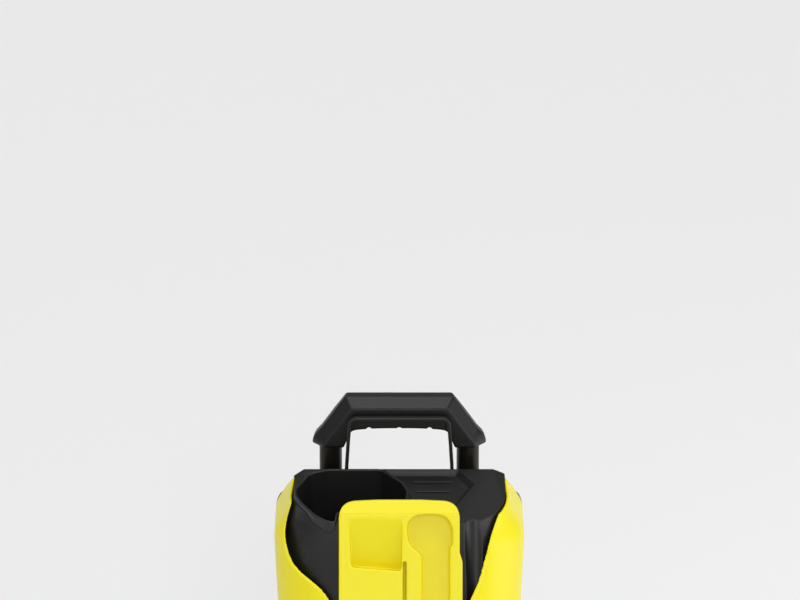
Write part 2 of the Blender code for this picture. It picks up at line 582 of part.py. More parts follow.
# ---------------------------------------------------- controls and couplings
knob_place = SLOPE_PLACE @ Matrix.Translation((0, 0, KNOB_W * MM)) @ Matrix.Rotation(math.pi / 2, 4, "X")
knob = turned("power_knob", [(0, 17), (23, 17), (25.5, 15), (27, 4), (27, 1.2), (6.6, 1.2), (6.6, -2), (0, -2)], "z", (0, 0, 0), BLACK, steps=32)
knob.matrix_world = knob_place
finger = box("knob_bar", (-5, -24, 10), (5, 24, 21))
finger.matrix_world = knob_place
boolean(knob, finger, "UNION")
spindle = turned("knob_spindle", [(0, -2.3), (4, -2.3), (4, -12), (0, -12)], "z", (0, 0, 0), STEEL, steps=16)
spindle.matrix_world = knob_place
switch = box("switch_box", (-20, -17, -46), (20, 17, -12.4), GREY)
switch.matrix_world = knob_place
bevel(switch, 2.0, 1, 40)

# motor along Y, its pump in front of it
M = (0.0, MOTOR_Z)
turned("motor_housing", [(50, 84), (50, -8), (10, -8), (10, -4), (46, -4), (46, 84), (50, 84)], "y",
       (0, 0, MOTOR_Z), ALUMINIUM, steps=24)
turned("motor_end_cap", [(50, 99.4), (50, 84.3), (7.5, 84.3), (7.5, 88), (44, 88), (44, 99.4), (50, 99.4)], "y",
       (0, 0, MOTOR_Z), BLACK, steps=24)
turned("stator", [(45.6, 64), (45.6, 6), (30, 6), (30, 64), (45.6, 64)], "y", (0, 0, MOTOR_Z), COPPER, steps=28)
turned("rotor", [(0, 98), (5, 98), (5, 66), (28.8, 62), (28.8, 8), (5, 4), (5, -30), (0, -30)], "y",
       (0, 0, MOTOR_Z), STEEL, steps=24)
turned("cooling_fan", [(9, 97), (30, 97), (41, 94.5), (41, 92.5), (28, 93), (9, 90), (5.3, 90), (5.3, 97), (9, 97)], "y",
       (0, 0, MOTOR_Z), GREY, steps=24)
plate = turned("wobble_plate", [(0, 4), (28, 4), (28, -4), (0, -4)], "y", (0, -38, MOTOR_Z), STEEL, steps=32)
plate.rotation_euler = (-math.pi / 2 + math.radians(9), 0, 0)
collar_cut = rod("plate_trim", 40, -30.3 - 0.0, 0, "y", M)
boolean(plate, collar_cut)
for i in range(3):
    a = math.radians(90 + 120 * i)
    px, pz = 18 * math.cos(a), MOTOR_Z + 18 * math.sin(a)
    turned(f"piston_{i + 1}", [(0, -46.8), (8, -46.8), (8, -49.8), (5.5, -49.8), (5.5, -98), (0, -98)], "y",
           (px, 0, pz), STEEL, steps=16)
    coil = [(px + 7.2 * math.cos(t), -51.0 - (t / (2 * math.pi)) * 4.4, pz + 7.2 * math.sin(t))
            for t in [2 * math.pi * k / 8 for k in range(0, 3 * 8 + 1)]]
    tube(f"piston_spring_{i + 1}", coil, 0.7, STEEL, 1)
pump = turned("pump_block", [(0, -66), (38, -66), (38, -128), (30, -134), (0, -134)], "y", (0, 0, MOTOR_Z), ALUMINIUM, steps=24)
for i in range(3):
    a = math.radians(90 + 120 * i)
    boolean(pump, rod(f"cylinder_{i + 1}", 5.9, -112, -40, "y", (18 * math.cos(a), MOTOR_Z + 18 * math.sin(a)), segments=16))
turned("pump_bracket", [(46, -8.4), (46, -65.6), (41, -65.6), (41, -12), (12, -12), (12, -8.4), (46, -8.4)], "y",
       (0, 0, MOTOR_Z), ALUMINIUM, steps=24)
turned("pressure_outlet", [(11, -134.4), (11, -176), (13, -178), (13, -194), (11, -196), (6, -196), (6, -150),
                           (3, -150), (3, -134.4), (11, -134.4)], "y", (0, 0, OUTLET_Z), BRASS, steps=20)

turned("water_inlet", [(15, 160), (16, 158), (16, 145), (17.5, 143), (17.5, 130.4), (12, 130.4), (12, 112), (7, 112),
                       (7, 140), (9.5, 142), (9.5, 160), (15, 160)], "y", (INLET[0], 0, INLET[1]), BLACK, steps=20)
turned("inlet_filter", [(9.1, 158), (9.1, 142.4), (5, 142.4), (5, 144), (7.4, 144), (7.4, 158), (9.1, 158)], "y",
       (INLET[0], 0, INLET[1]), CLEAR, steps=16)
turned("cable_gland", [(12, 136), (13, 134.5), (13, 130.4), (8, 130.4), (8, 120), (4.2, 120), (4.2, 136), (12, 136)],
       "y", (GLAND[0], 0, GLAND[1]), BLACK, steps=20)


def smooth_path(points, steps=6):
    """Catmull-Rom points through the given ones."""
    made = []
    ends = [points[0]] + points + [points[-1]]
    for p0, p1, p2, p3 in zip(ends, ends[1:], ends[2:], ends[3:]):
        for k in range(steps):
            t = k / steps
            made.append(tuple(0.5 * ((2 * b) + (c - a) * t + (2 * a - 5 * b + 4 * c - d) * t * t +
                                     (3 * b - a - 3 * c + d) * t ** 3)
                              for a, b, c, d in zip(p0, p1, p2, p3)))
    made.append(points[-1])
    return made


tube("inlet_hose", smooth_path([(42, 111.4, 150), (44, 100, 151), (56, 80, 158), (58, 20, 168), (56, -40, 160), (56, -80, 134),
                                (52, -98, 115.3), (39.4, -98, 115)], 3), 6.0, RUBBER)
tube("detergent_hose", smooth_path([(-50, 20, 347.5), (-50, 20, 320), (-52, 0, 270), (-54, -50, 200), (-56, -90, 140),
                                    (-51, -100, 116), (-38.6, -100, 115)], 3), 3.5, RUBBER)
rod("well_spigot", 4.9, 348, 358, "z", (-50, 20), GREY, segments=16)
rod("capacitor", 14, 20, 66, "y", (0, MOTOR_Z + 50 + GAP + 14), GREY, segments=24)
box("terminal_box", (-45, 101, 200), (45, REAR_Y - WALL - GAP, 258), GREY)
for tag, y0, y1 in (("front", -122, -92), ("rear", 22, 62)):
    half = 38 if tag == "front" else 50
    saddle = box(f"motor_mount_{tag}", (-44, y0, 17.4), (44, y1, 98), RUBBER)
    boolean(saddle, rod(f"saddle_{tag}", half + GAP, y0 - 10, y1 + 10, "y", M, segments=36))
for side, tag in ((-1, "left"), (1, "right")):
    screw = turned(f"deck_screw_{tag}", [(0, REAR_DECK_Z + 3), (3.6, REAR_DECK_Z + 2.4), (4.4, REAR_DECK_Z + 1), (4.4, REAR_DECK_Z + GAP), (0, REAR_DECK_Z + GAP)],
                   "z", (side * 40, 100, 0), STEEL, steps=16)
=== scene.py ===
"""Looks for the upright pressure washer: fine meshes, materials, light and camera."""

import json
import math

import bmesh
import bpy
import numpy as np
from mathutils import Matrix, Vector


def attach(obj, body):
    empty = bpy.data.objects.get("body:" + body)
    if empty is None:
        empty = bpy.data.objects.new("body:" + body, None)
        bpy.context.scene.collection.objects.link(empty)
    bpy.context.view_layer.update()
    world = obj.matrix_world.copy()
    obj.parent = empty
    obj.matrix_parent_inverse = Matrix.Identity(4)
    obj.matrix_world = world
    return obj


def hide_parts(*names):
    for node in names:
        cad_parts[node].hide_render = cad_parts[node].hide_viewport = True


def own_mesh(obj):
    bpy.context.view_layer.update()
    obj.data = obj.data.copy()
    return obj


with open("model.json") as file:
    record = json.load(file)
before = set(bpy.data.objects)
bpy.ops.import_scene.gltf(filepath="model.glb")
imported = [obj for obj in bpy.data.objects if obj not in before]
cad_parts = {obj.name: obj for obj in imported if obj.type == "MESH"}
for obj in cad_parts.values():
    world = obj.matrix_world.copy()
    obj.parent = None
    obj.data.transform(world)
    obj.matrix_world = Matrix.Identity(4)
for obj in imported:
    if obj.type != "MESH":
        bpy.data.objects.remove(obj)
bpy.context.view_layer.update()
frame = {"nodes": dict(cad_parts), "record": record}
MM = 0.001

scene = bpy.context.scene
scene.view_settings.view_transform = "Standard"
scene.view_settings.look = "None"

# ------------------------------------------------------------------ materials


def linear(r, g, b):
    """An 8-bit display colour as linear light."""
    return tuple((c / 255 / 12.92) if c <= 10 else (((c / 255) + 0.055) / 1.055) ** 2.4 for c in (r, g, b))


def plastic(name, colour, roughness, grain=0.12, grain_size=0.0004, mottle=0.05, metallic=0.0,
            coat=0.0, edge_wear_and_sheen=0.0, rough_spread=0.06, specular=0.5, dust=0.0):
    """Moulded plastic (or metal): spark-eroded grain, slow mottling, dusty edges, and convex edges lightened partly as
    rubbed wear and partly as a painted highlight.
    """
    made = bpy.data.materials.new(name)
    made.use_nodes = True
    nodes, links = made.node_tree.nodes, made.node_tree.links
    shader = nodes["Principled BSDF"]
    shader.inputs["Metallic"].default_value = metallic
    shader.inputs["Specular IOR Level"].default_value = specular
    if coat:
        shader.inputs["Coat Weight"].default_value = coat
        shader.inputs["Coat Roughness"].default_value = 0.12
    place = nodes.new("ShaderNodeTexCoord")
    slow = nodes.new("ShaderNodeTexNoise")
    slow.inputs["Scale"].default_value = 14.0
    slow.inputs["Detail"].default_value = 5.0
    links.new(place.outputs["Object"], slow.inputs["Vector"])
    tint = nodes.new("ShaderNodeMix")
    tint.data_type = "RGBA"
    dark = tuple(c * (1 - mottle) for c in colour)
    light = tuple(min(1.0, c * (1 + mottle)) for c in colour)
    tint.inputs["A"].default_value = (*dark, 1)
    tint.inputs["B"].default_value = (*light, 1)
    links.new(slow.outputs["Fac"], tint.inputs["Factor"])
    out = tint.outputs["Result"]
    # convex edges (high pointiness) are mixed towards a lighter colour: partly rubbed wear, partly a painted highlight
    # for the light that rounded edges catch
    if edge_wear_and_sheen or dust:
        geometry = nodes.new("ShaderNodeNewGeometry")
        ramp = nodes.new("ShaderNodeValToRGB")
        ramp.color_ramp.elements[0].position = 0.515
        ramp.color_ramp.elements[1].position = 0.60
        links.new(geometry.outputs["Pointiness"], ramp.inputs["Fac"])
        rub_and_sheen = nodes.new("ShaderNodeMath")
        rub_and_sheen.operation = "MULTIPLY"
        rub_and_sheen.inputs[1].default_value = edge_wear_and_sheen
        links.new(ramp.outputs["Color"], rub_and_sheen.inputs[0])
        worn_and_sheen = nodes.new("ShaderNodeMix")
        worn_and_sheen.data_type = "RGBA"
        worn_and_sheen.inputs["B"].default_value = (*[min(1.0, c * 1.5 + 0.05) for c in colour], 1)
        links.new(rub_and_sheen.outputs["Value"], worn_and_sheen.inputs["Factor"])
        links.new(out, worn_and_sheen.inputs["A"])
        out = worn_and_sheen.outputs["Result"]
    links.new(out, shader.inputs["Base Color"])
    spread = nodes.new("ShaderNodeMapRange")
    spread.inputs["To Min"].default_value = roughness - rough_spread
    spread.inputs["To Max"].default_value = roughness + rough_spread
    links.new(slow.outputs["Fac"], spread.inputs["Value"])
    links.new(spread.outputs["Result"], shader.inputs["Roughness"])
    if grain:
        fine = nodes.new("ShaderNodeTexNoise")
        fine.inputs["Scale"].default_value = 1.0 / grain_size
        fine.inputs["Detail"].default_value = 3.0
        links.new(place.outputs["Object"], fine.inputs["Vector"])
        bump = nodes.new("ShaderNodeBump")
        bump.inputs["Strength"].default_value = grain
        bump.inputs["Distance"].default_value = grain_size * 0.5
        links.new(fine.outputs["Fac"], bump.inputs["Height"])
        links.new(bump.outputs["Normal"], shader.inputs["Normal"])
    made.diffuse_color = (*colour, 1)
    return made


# the edge value in each call lightens convex edges: partly rubbed wear, partly a painted highlight on rounded edges
YELLOW = plastic("yellow_cover", (0.87, 0.76, 0.008), 0.34, grain=0.05, mottle=0.012, edge_wear_and_sheen=0.22, specular=0.32)
BLACK = plastic("black_plastic", linear(20, 20, 20), 0.42, grain=0.35, edge_wear_and_sheen=0.3, mottle=0.06, specular=0.42)
GRIP = plastic("grip_plastic", linear(18, 18, 18), 0.40, grain=0.5, grain_size=0.0006, edge_wear_and_sheen=0.3, specular=0.36)
TUBE = plastic("handle_tube", linear(34, 33, 28), 0.3, grain=0.05, metallic=0.5, mottle=0.03, edge_wear_and_sheen=0.0, specular=0.3)
TYRE = plastic("tyre_rubber", linear(24, 24, 25), 0.8, grain=0.6, grain_size=0.0008, specular=0.25)
RUBBER = plastic("soft_rubber", linear(34, 34, 35), 0.75, grain=0.4)
STEEL = plastic("steel", (0.5, 0.51, 0.52), 0.3, grain=0.1, metallic=1.0)
BRASS = plastic("brass", (0.72, 0.5, 0.2), 0.28, grain=0.06, metallic=1.0)
ALUMINIUM = plastic("cast_aluminium", (0.58, 0.59, 0.6), 0.5, grain=0.6, grain_size=0.0009, metallic=1.0)
WINDING = plastic("winding", (0.5, 0.22, 0.1), 0.4, grain=0.8, grain_size=0.0012, metallic=0.6)
GREY = plastic("grey_plastic", linear(112, 113, 115), 0.48, grain=0.3)
FILTER = plastic("filter_mesh", (0.6, 0.62, 0.62), 0.25, grain=0.3)
SLOTS = {"yellow_cover": YELLOW, "black_plastic": BLACK, "grip_plastic": GRIP, "handle_tube": TUBE,
         "tyre_rubber": TYRE, "soft_rubber": RUBBER, "steel": STEEL, "brass": BRASS,
         "cast_aluminium": ALUMINIUM, "winding": WINDING, "grey_plastic": GREY, "filter_mesh": FILTER}

slot_of = {s["node"]: s["material_slot"] for s in frame["record"]["subparts"]}
for name, node in frame["nodes"].items():
    node.data.materials.clear()
    node.data.materials.append(SLOTS[slot_of[name]])

# --------------------------------------------------------------- dimensions
# millimetres, the same driving sizes as the solids
GAP, WALL = 0.3, 3.0
SKIN_WIDTH = [(10, 119), (60, 123), (130, 124), (200, 125.5), (260, 128), (320, 131),
              (375, 135), (420, 138), (446, 139.5), (460, 139.5), (472, 131.8), (480, 126.8),
              (488, 124.2), (495, 122.3), (502, 120), (524, 112)]
CORE_WIDTH = [(380, 124.5), (420, 128.5), (446, 129.5), (460, 128.8), (472, 126.2), (480, 122.8),
              (488, 120.6), (495, 119.0), (502, 118.5), (524, 115)]
FRONT_AT_500, FRONT_SLOPE, FRONT_LIMIT, CORE_INSET = -58.0, 0.32, -200.0, 5.0
REAR_Y, CORNER_FRONT, CORNER_REAR = 130.0, 88.0, 26.0
RIDGE_Y, DECK, DECK_SLOPE, REAR_DECK_Z = 72.0, 509.0, math.tan(math.radians(9.5)), 478.0
REAR_SEAM_Y, APRON_BOTTOM = 100.0, 386.0
ROD_X, ROD_Y, ROD_R, ROD_BOTTOM = 77.3, 105.0, 12.75, 20.0
hidden = bpy.data.collections.new("cutters")
scene.collection.children.link(hidden)


def new(name, bm, look=None):
    """The mesh as an object: a cutter when it has no look."""
    bmesh.ops.recalc_face_normals(bm, faces=bm.faces[:])
    mesh = bpy.data.meshes.new(name)
    bm.to_mesh(mesh)
    bm.free()
    made = bpy.data.objects.new(name, mesh)
    if look is None:
        hidden.objects.link(made)
        made.hide_render = True
    else:
        scene.collection.objects.link(made)
        mesh.materials.append(look)
    return made


def block(name, low, high, look=None):
    bm = bmesh.new()
    bmesh.ops.create_cube(bm, size=1.0)
    bmesh.ops.scale(bm, vec=[(b - a) * MM for a, b in zip(low, high)], verts=bm.verts[:])
    bmesh.ops.translate(bm, vec=[(a + b) / 2 * MM for a, b in zip(low, high)], verts=bm.verts[:])
    return new(name, bm, look)


TURNS = {"x": Matrix.Rotation(math.pi / 2, 4, "Y"), "y": Matrix.Rotation(-math.pi / 2, 4, "X"),
         "z": Matrix.Identity(4)}


def peg(name, radius, start, end, axis, across, look=None, segments=64, radius2=None):
    bm = bmesh.new()
    bmesh.ops.create_cone(bm, cap_ends=True, segments=segments, radius1=radius * MM,
                          radius2=(radius if radius2 is None else radius2) * MM, depth=(end - start) * MM)
    bmesh.ops.transform(bm, matrix=TURNS[axis], verts=bm.verts[:])
    mid = (start + end) / 2
    middle = {"x": (mid, across[0], across[1]), "y": (across[0], mid, across[1]), "z": (across[0], across[1], mid)}[axis]
    bmesh.ops.translate(bm, vec=[v * MM for v in middle], verts=bm.verts[:])
    return new(name, bm, look)


def prism(name, outline, axis, start, end, look=None):
    place = {"x": lambda a, b: (start, a, b), "y": lambda a, b: (a, start, b), "z": lambda a, b: (a, b, start)}[axis]
    along = {"x": (1, 0, 0), "y": (0, 1, 0), "z": (0, 0, 1)}[axis]
    bm = bmesh.new()
    face = bm.faces.new([bm.verts.new([v * MM for v in place(a, b)]) for a, b in outline])
    far = bmesh.ops.extrude_face_region(bm, geom=[face])["geom"]
    bmesh.ops.translate(bm, vec=[v * (end - start) * MM for v in along],
                        verts=[g for g in far if isinstance(g, bmesh.types.BMVert)])
    return new(name, bm, look)


def loft(name, rings, look=None, caps=True):
    bm = bmesh.new()
    rows = [[bm.verts.new([v * MM for v in p]) for p in ring] for ring in rings]
    count = len(rows[0])
    for lower, upper in zip(rows, rows[1:]):
        for i in range(count):
            j = (i + 1) % count
            bm.faces.new((lower[i], lower[j], upper[j], upper[i]))
    if caps:
        bm.faces.new(rows[0][::-1])
        bm.faces.new(rows[-1])
    return new(name, bm, look)


def lathe(name, profile, axis, at, look, steps=96, flip=False, bend=None):
    """A closed (radius, height) profile turned about the axis; bend changes a radius by its angle."""
    bm = bmesh.new()
    closed = profile[0] == profile[-1]
    points = profile[:-1] if closed else profile
    rows = []
    for k in range(steps):
        turn = 2 * math.pi * k / steps
        row = []
        for r, h in points:
            rr = bend(r, h, turn) if bend else r
            row.append((rr * math.cos(turn), rr * math.sin(turn), h))
        rows.append(row)
    verts = [[None] * len(points) for _ in range(steps)]
    for i, (r, h) in enumerate(points):
        single = bm.verts.new((0, 0, h * MM)) if r == 0 else None
        for k in range(steps):
            verts[k][i] = single or bm.verts.new([v * MM for v in rows[k][i]])
    pairs = [(i, i + 1) for i in range(len(points) - 1)] + ([(len(points) - 1, 0)] if closed else [])
    for k in range(steps):
        n = (k + 1) % steps
        for i, j in pairs:
            ring = []
            for v in (verts[k][i], verts[n][i], verts[n][j], verts[k][j]):
                if v not in ring:
                    ring.append(v)
            if len(ring) > 2:
                bm.faces.new(ring)
    turn = {"x": (0, math.pi / 2, 0), "y": (-math.pi / 2, 0, 0), "z": (0, 0, 0)}[axis]
    if flip:
        turn = {"x": (0, -math.pi / 2, 0), "y": (math.pi / 2, 0, 0), "z": (math.pi, 0, 0)}[axis]
    made = new(name, bm, look)
    made.rotation_euler = turn
    made.location = [v * MM for v in at]
    return made


def cut(target, other, operation="DIFFERENCE"):
    step = target.modifiers.new(other.name, "BOOLEAN")
    step.operation, step.solver, step.object = operation, "EXACT", other


def baked(made):
    """The object with its modifiers applied and the scraps of its Booleans cleaned."""
    bpy.context.view_layer.update()
    graph = bpy.context.evaluated_depsgraph_get()
    mesh = bpy.data.meshes.new_from_object(made.evaluated_get(graph))
    made.modifiers.clear()
    made.data = mesh
    bm = bmesh.new()
    bm.from_mesh(mesh)
    bmesh.ops.remove_doubles(bm, verts=bm.verts[:], dist=0.00004)
    bmesh.ops.dissolve_limit(bm, angle_limit=math.radians(0.6), verts=bm.verts[:], edges=bm.edges[:])
    bm.to_mesh(mesh)
    bm.free()
    return made


def edges(made, width, segments=3, angle=30, smooth=35):
    """Rounds the edges sharper than the angle and shades the rest smooth."""
    if width:
        step = made.modifiers.new("rounding", "BEVEL")
        step.width, step.segments = width * MM, segments
        step.limit_method, step.angle_limit = "ANGLE", math.radians(angle)
        step.use_clamp_overlap = True
        step.harden_normals = False
        step.miter_outer = "MITER_ARC"
    made.data.shade_smooth()
    made.data.set_sharp_from_angle(angle=math.radians(smooth))
    weigh = made.modifiers.new("shading", "WEIGHTED_NORMAL")
    weigh.keep_sharp = True
    weigh.weight = 80
    return made


def melted(made, voxel, rounds=3, factor=0.5):
    """Evens the surface out on a fine grid and eases every edge, as moulding does."""
    step = made.modifiers.new("grid", "REMESH")
    step.mode, step.voxel_size, step.adaptivity = "VOXEL", voxel * MM, 0.0
    step.use_smooth_shade = True
    ease = made.modifiers.new("ease", "SMOOTH")
    ease.factor, ease.iterations = factor, rounds
    bpy.context.view_layer.update()
    mesh = bpy.data.meshes.new_from_object(made.evaluated_get(bpy.context.evaluated_depsgraph_get()))
    made.modifiers.clear()
    look = made.data.materials[0]
    made.data = mesh
    mesh.materials.clear()
    mesh.materials.append(look)
    mesh.shade_smooth()
    return made


def at(table, z):
    if z <= table[0][0]:
        return table[0][1]
    for (z0, v0), (z1, v1) in zip(table, table[1:]):
        if z <= z1:
            return v0 + (v1 - v0) * (z - z0) / (z1 - z0)
    return table[-1][1]


def front_y(z):
    return max(FRONT_AT_500 - (500.0 - z) * FRONT_SLOPE, FRONT_LIMIT)


def wide(z):
    """The skin's half width, eased where its straight runs meet."""
    return sum(at(SKIN_WIDTH, z + d) * w for d, w in ((-9, 1), (-6, 2), (-3, 3), (0, 4), (3, 3), (6, 2), (9, 1))) / 16


def plan_ring(z, half, front, rear, rf, rr, fine=28, small=10):
    ring = []
    for cx, cy, r, start in ((half - rf, front + rf, rf, -90), (half - rr, rear - rr, rr, 0),
                             (-half + rr, rear - rr, rr, 90), (-half + rf, front + rf, rf, 180)):
        count = fine if r > 40 else small
        for i in range(count + 1):
            turn = math.radians(start + 90.0 * i / count)
            ring.append((cx + r * math.cos(turn), cy + r * math.sin(turn), z))
    return ring


def skin_ring(z, inset, key=None):
    key = z if key is None else key
    return plan_ring(z, wide(key) - inset, front_y(key) + inset, REAR_Y - inset,
                     CORNER_FRONT - inset, CORNER_REAR - inset)


def core_ring(z, inset, key=None):
    key = z if key is None else key
    return plan_ring(z, at(CORE_WIDTH, key) - inset, front_y(key) + CORE_INSET + inset,
                     REAR_Y - WALL - GAP - inset, CORNER_FRONT - inset, CORNER_REAR - inset)


def skin_at(x, z, inset=0.0):
    """y of the skin's front half at this x and height."""
    half = at(SKIN_WIDTH, z) - inset
    front, r = front_y(z) + inset, CORNER_FRONT - inset
    reach = abs(x) - (half - r)
    return front if reach <= 0 else front + r - math.sqrt(max(r * r - reach * reach, 0.0))


def rounded(points, radii, steps=8):
    made = []
    count = len(points)
    for i, (p, r) in enumerate(zip(points, radii)):
        p = Vector(p)
        if r <= 0:
            made.append(tuple(p))
            continue
        a = (Vector(points[i - 1]) - p).normalized()
        b = (Vector(points[(i + 1) % count]) - p).normalized()
        half = math.acos(max(-1, min(1, a.dot(b)))) / 2
        reach = min(r / math.tan(half), (Vector(points[i - 1]) - p).length * 0.49,
                    (Vector(points[(i + 1) % count]) - p).length * 0.49)
        start, end = p + a * reach, p + b * reach
        for k in range(steps + 1):
            t = k / steps
            made.append(tuple((1 - t) ** 2 * start + 2 * t * (1 - t) * p + t * t * end))
    return made


def grown(points, amount):
    made = []
    count = len(points)
    for i in range(count):
        p0, p1, p2 = (Vector(points[k % count]) for k in (i - 1, i, i + 1))
        d1, d2 = (p1 - p0).normalized(), (p2 - p1).normalized()
        n = Vector((d1.y, -d1.x)) + Vector((d2.y, -d2.x))
        n = n / max(n.length_squared / 2.0, 0.3)
        made.append(tuple(p1 + n * amount))
    return made


def even(points, step, closed=True):
    """The outline resampled at even steps, so that offsets stay clean."""
    loop = [Vector(p) for p in points] + ([Vector(points[0])] if closed else [])
    runs = [(b - a).length for a, b in zip(loop, loop[1:])]
    total = sum(runs)
    count = max(8, int(total / step))
    made, k, done = [], 0, 0.0
    for i in range(count):
        want = total * i / count
        while done + runs[k] < want and k < len(runs) - 1:
            done += runs[k]
            k += 1
        t = (want - done) / max(runs[k], 1e-9)
        made.append(tuple(loop[k].lerp(loop[k + 1], t)))
    return made


def softened(points, rounds=2):
    for _ in range(rounds):
        points = [tuple((Vector(points[i - 1]) + 2 * Vector(points[i]) + Vector(points[(i + 1) % len(points)])) / 4)
                  for i in range(len(points))]
    return points


def area(points):
    return sum(a[0] * b[1] - b[0] * a[1] for a, b in zip(points, points[1:] + points[:1])) / 2


def slope_point(w=0.0, n=0.0, x=0.0):
    length = math.hypot(FRONT_SLOPE, 1.0)
    up = (0.0, FRONT_SLOPE / length, 1.0 / length)
    out = (0.0, -1.0 / length, FRONT_SLOPE / length)
    return (x, FRONT_AT_500 + up[1] * w + out[1] * n, 500.0 + up[2] * w + out[2] * n)


SLOPE_PLACE = Matrix.Translation([v * MM for v in slope_point()]) @ Matrix.Rotation(-math.atan(FRONT_SLOPE), 4, "X")
ON_DECK = Matrix.Translation((0, RIDGE_Y * MM, DECK * MM)) @ Matrix.Rotation(math.atan(DECK_SLOPE), 4, "X") @ \
    Matrix.Translation((0, -RIDGE_Y * MM, 0))


def on_slope(made):
    made.matrix_world = SLOPE_PLACE
    return made


def plane_cut(name, point, normal, size=400.0):
    bm = bmesh.new()
    bmesh.ops.create_cube(bm, size=size * MM)
    bmesh.ops.translate(bm, vec=(0, 0, size * MM / 2), verts=bm.verts[:])
    made = new(name, bm)
    turn = Vector((0, 0, 1)).rotation_difference(Vector(normal).normalized()).to_matrix().to_4x4()
    made.matrix_world = Matrix.Translation([v * MM for v in point]) @ turn
    return made


def deck_z(y):
    return DECK + (y - RIDGE_Y) * DECK_SLOPE


DECK_NORMAL = (0.0, -DECK_SLOPE, 1.0)


def put(made, body, *nodes):
    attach(made, body)
    if nodes:
        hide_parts(*nodes)
    return made


# ------------------------------------------------------------- yellow covers
arch_left = peg("arch_left", 104, -170, -118.6, "x", (105, 95), segments=96)
arch_right = peg("arch_right", 104, 118.6, 170, "x", (105, 95), segments=96)


def edge_x(edge, z):
    return at([(b, a) for a, b in reversed(edge)], z)


def soft_edge(edge, z):
    """The inner edge, eased over its corners."""
    return sum(edge_x(edge, z + d) * w for d, w in ((-6, 1), (-3, 2), (0, 3), (3, 2), (6, 1))) / 9


def wing(name, edge, sign, arch):
    """A wrap-round cover on its own grid: rows climb from the base to the cut top,
    columns run from the rear seam round the corner to a rolled inner edge."""
    columns, rows = 46, 84

    def along(z, u, inset):
        """The point a share u of the way from the rear seam to the inner edge."""
        half = wide(z) - inset
        r, front = CORNER_FRONT - inset, front_y(z) + inset
        if z > 380:
            core = at(CORE_WIDTH, z) + GAP
            half = half if inset == 0 else min(half, max(core, half - 0.0))
        cx, cy = half - r, front + r
        x_edge = abs(soft_edge(edge, z))
        straight = max(REAR_SEAM_Y - GAP - cy, 0.0)
        reach = max(min((x_edge - cx) / r, 1.0), 0.0)
        sweep = math.acos(reach)
        flat = max(cx - x_edge, 0.0)
        total = straight + r * sweep + flat
        s = u * total
        if s < straight:
            return Vector((half, REAR_SEAM_Y - GAP - s, z))
        s -= straight
        # the last few millimetres before the inner edge fall away as a bevel
        left = (1.0 - u) * total
        facet = 5.6 * max(0.35, min(1.0, (497 - z) / 60)) if inset == 0 else 0.001
        dip = 0.0 if left >= facet else (1.0 - left / facet) * min(2.4, facet * 0.45)
        if flat <= 0 or s < r * sweep:
            a = min(s / r, sweep)
            return Vector((cx + (r - dip) * math.cos(a), cy - (r - dip) * math.sin(a), z))
        return Vector((cx - (s - r * sweep), front + dip, z))

    def top_of(u):
        z = 490.0
        for _ in range(40):
            y = along(z, u, 0).y
            want = min(500.0 - 0.526 * (y - 62.0), deck_z(y) - 5.5)
            z += 0.4 * (want - z)
        return z

    shares = [0.955 * i / (columns - 10) for i in range(columns - 9)] + [0.955 + 0.045 * i / 10 for i in range(1, 11)]
    tops = [top_of(share) for share in shares]
    breaks = [60.3 + (446 - 60.3) * k / 60 for k in range(60)]
    grid = []
    for inset in (0.0, WALL):
        sheet = []
        for i in range(columns + 1):
            u = shares[i]
            top = tops[i]
            column = [along(z, u, inset) for z in breaks]
            count = rows - len(breaks)
            for k in range(count + 1):
                z = 446 + (top - 446) * k / count
                column.append(along(z, u, inset))
            sheet.append(column)
        grid.append(sheet)
    bm = bmesh.new()
    verts = [[[bm.verts.new((sign * p.x * MM, p.y * MM, p.z * MM)) for p in column] for column in sheet] for sheet in grid]
    n = len(verts[0][0])
    for side in (0, 1):
        for i in range(columns):
            for k in range(n - 1):
                bm.faces.new((verts[side][i][k], verts[side][i + 1][k], verts[side][i + 1][k + 1], verts[side][i][k + 1]))
    for i in range(columns):
        for k in (0, n - 1):
            bm.faces.new((verts[0][i][k], verts[0][i + 1][k], verts[1][i + 1][k], verts[1][i][k]))
    for k in range(n - 1):
        for i in (0, columns):
            bm.faces.new((verts[0][i][k], verts[0][i][k + 1], verts[1][i][k + 1], verts[1][i][k]))
    made = new(name, bm, YELLOW)
    cut(made, arch)
    return melted(made, 1.0, 3)


# inner edges of the covers seen from the front: x, z and the radius that softens each corner
def edge_line(corners, steps):
    return rounded([(x, z) for x, z, r in corners], [r for x, z, r in corners], steps)


LEFT_EDGE = edge_line([(-118.5, 540, 0), (-118.5, 498, 30), (-129.5, 464, 34), (-119.5, 437.5, 14),
                       (-84, 420.5, 30), (-67, 392, 90), (-67, 40, 0)], 10)
RIGHT_EDGE = edge_line([(117.5, 540, 0), (117.5, 500, 30), (102, 474, 60), (88, 428, 30),
                        (70.3, 396, 70), (70.3, 40, 0)], 10)

left_wing = put(wing("cover_left", LEFT_EDGE, -1, arch_left), "body", "side_cover_left")
right_wing = put(wing("cover_right", RIGHT_EDGE, 1, arch_right), "body", "side_cover_right")

# ------------------------------------------------------------------ the panel


def panel_outline(grow=0.0):
    top, low, head, foot = 66.5 + grow, 69.6 + grow, 18.0 + grow, -224.0 - grow
    return rounded([(-top, foot), (low, foot), (low, -50), (top, -40), (top, head - 2.2), (24, head - 0.3),
                    (-24, head - 0.3), (-top, head - 2.2)], [4, 4, 6, 6, 20, 40, 40, 20], 10)


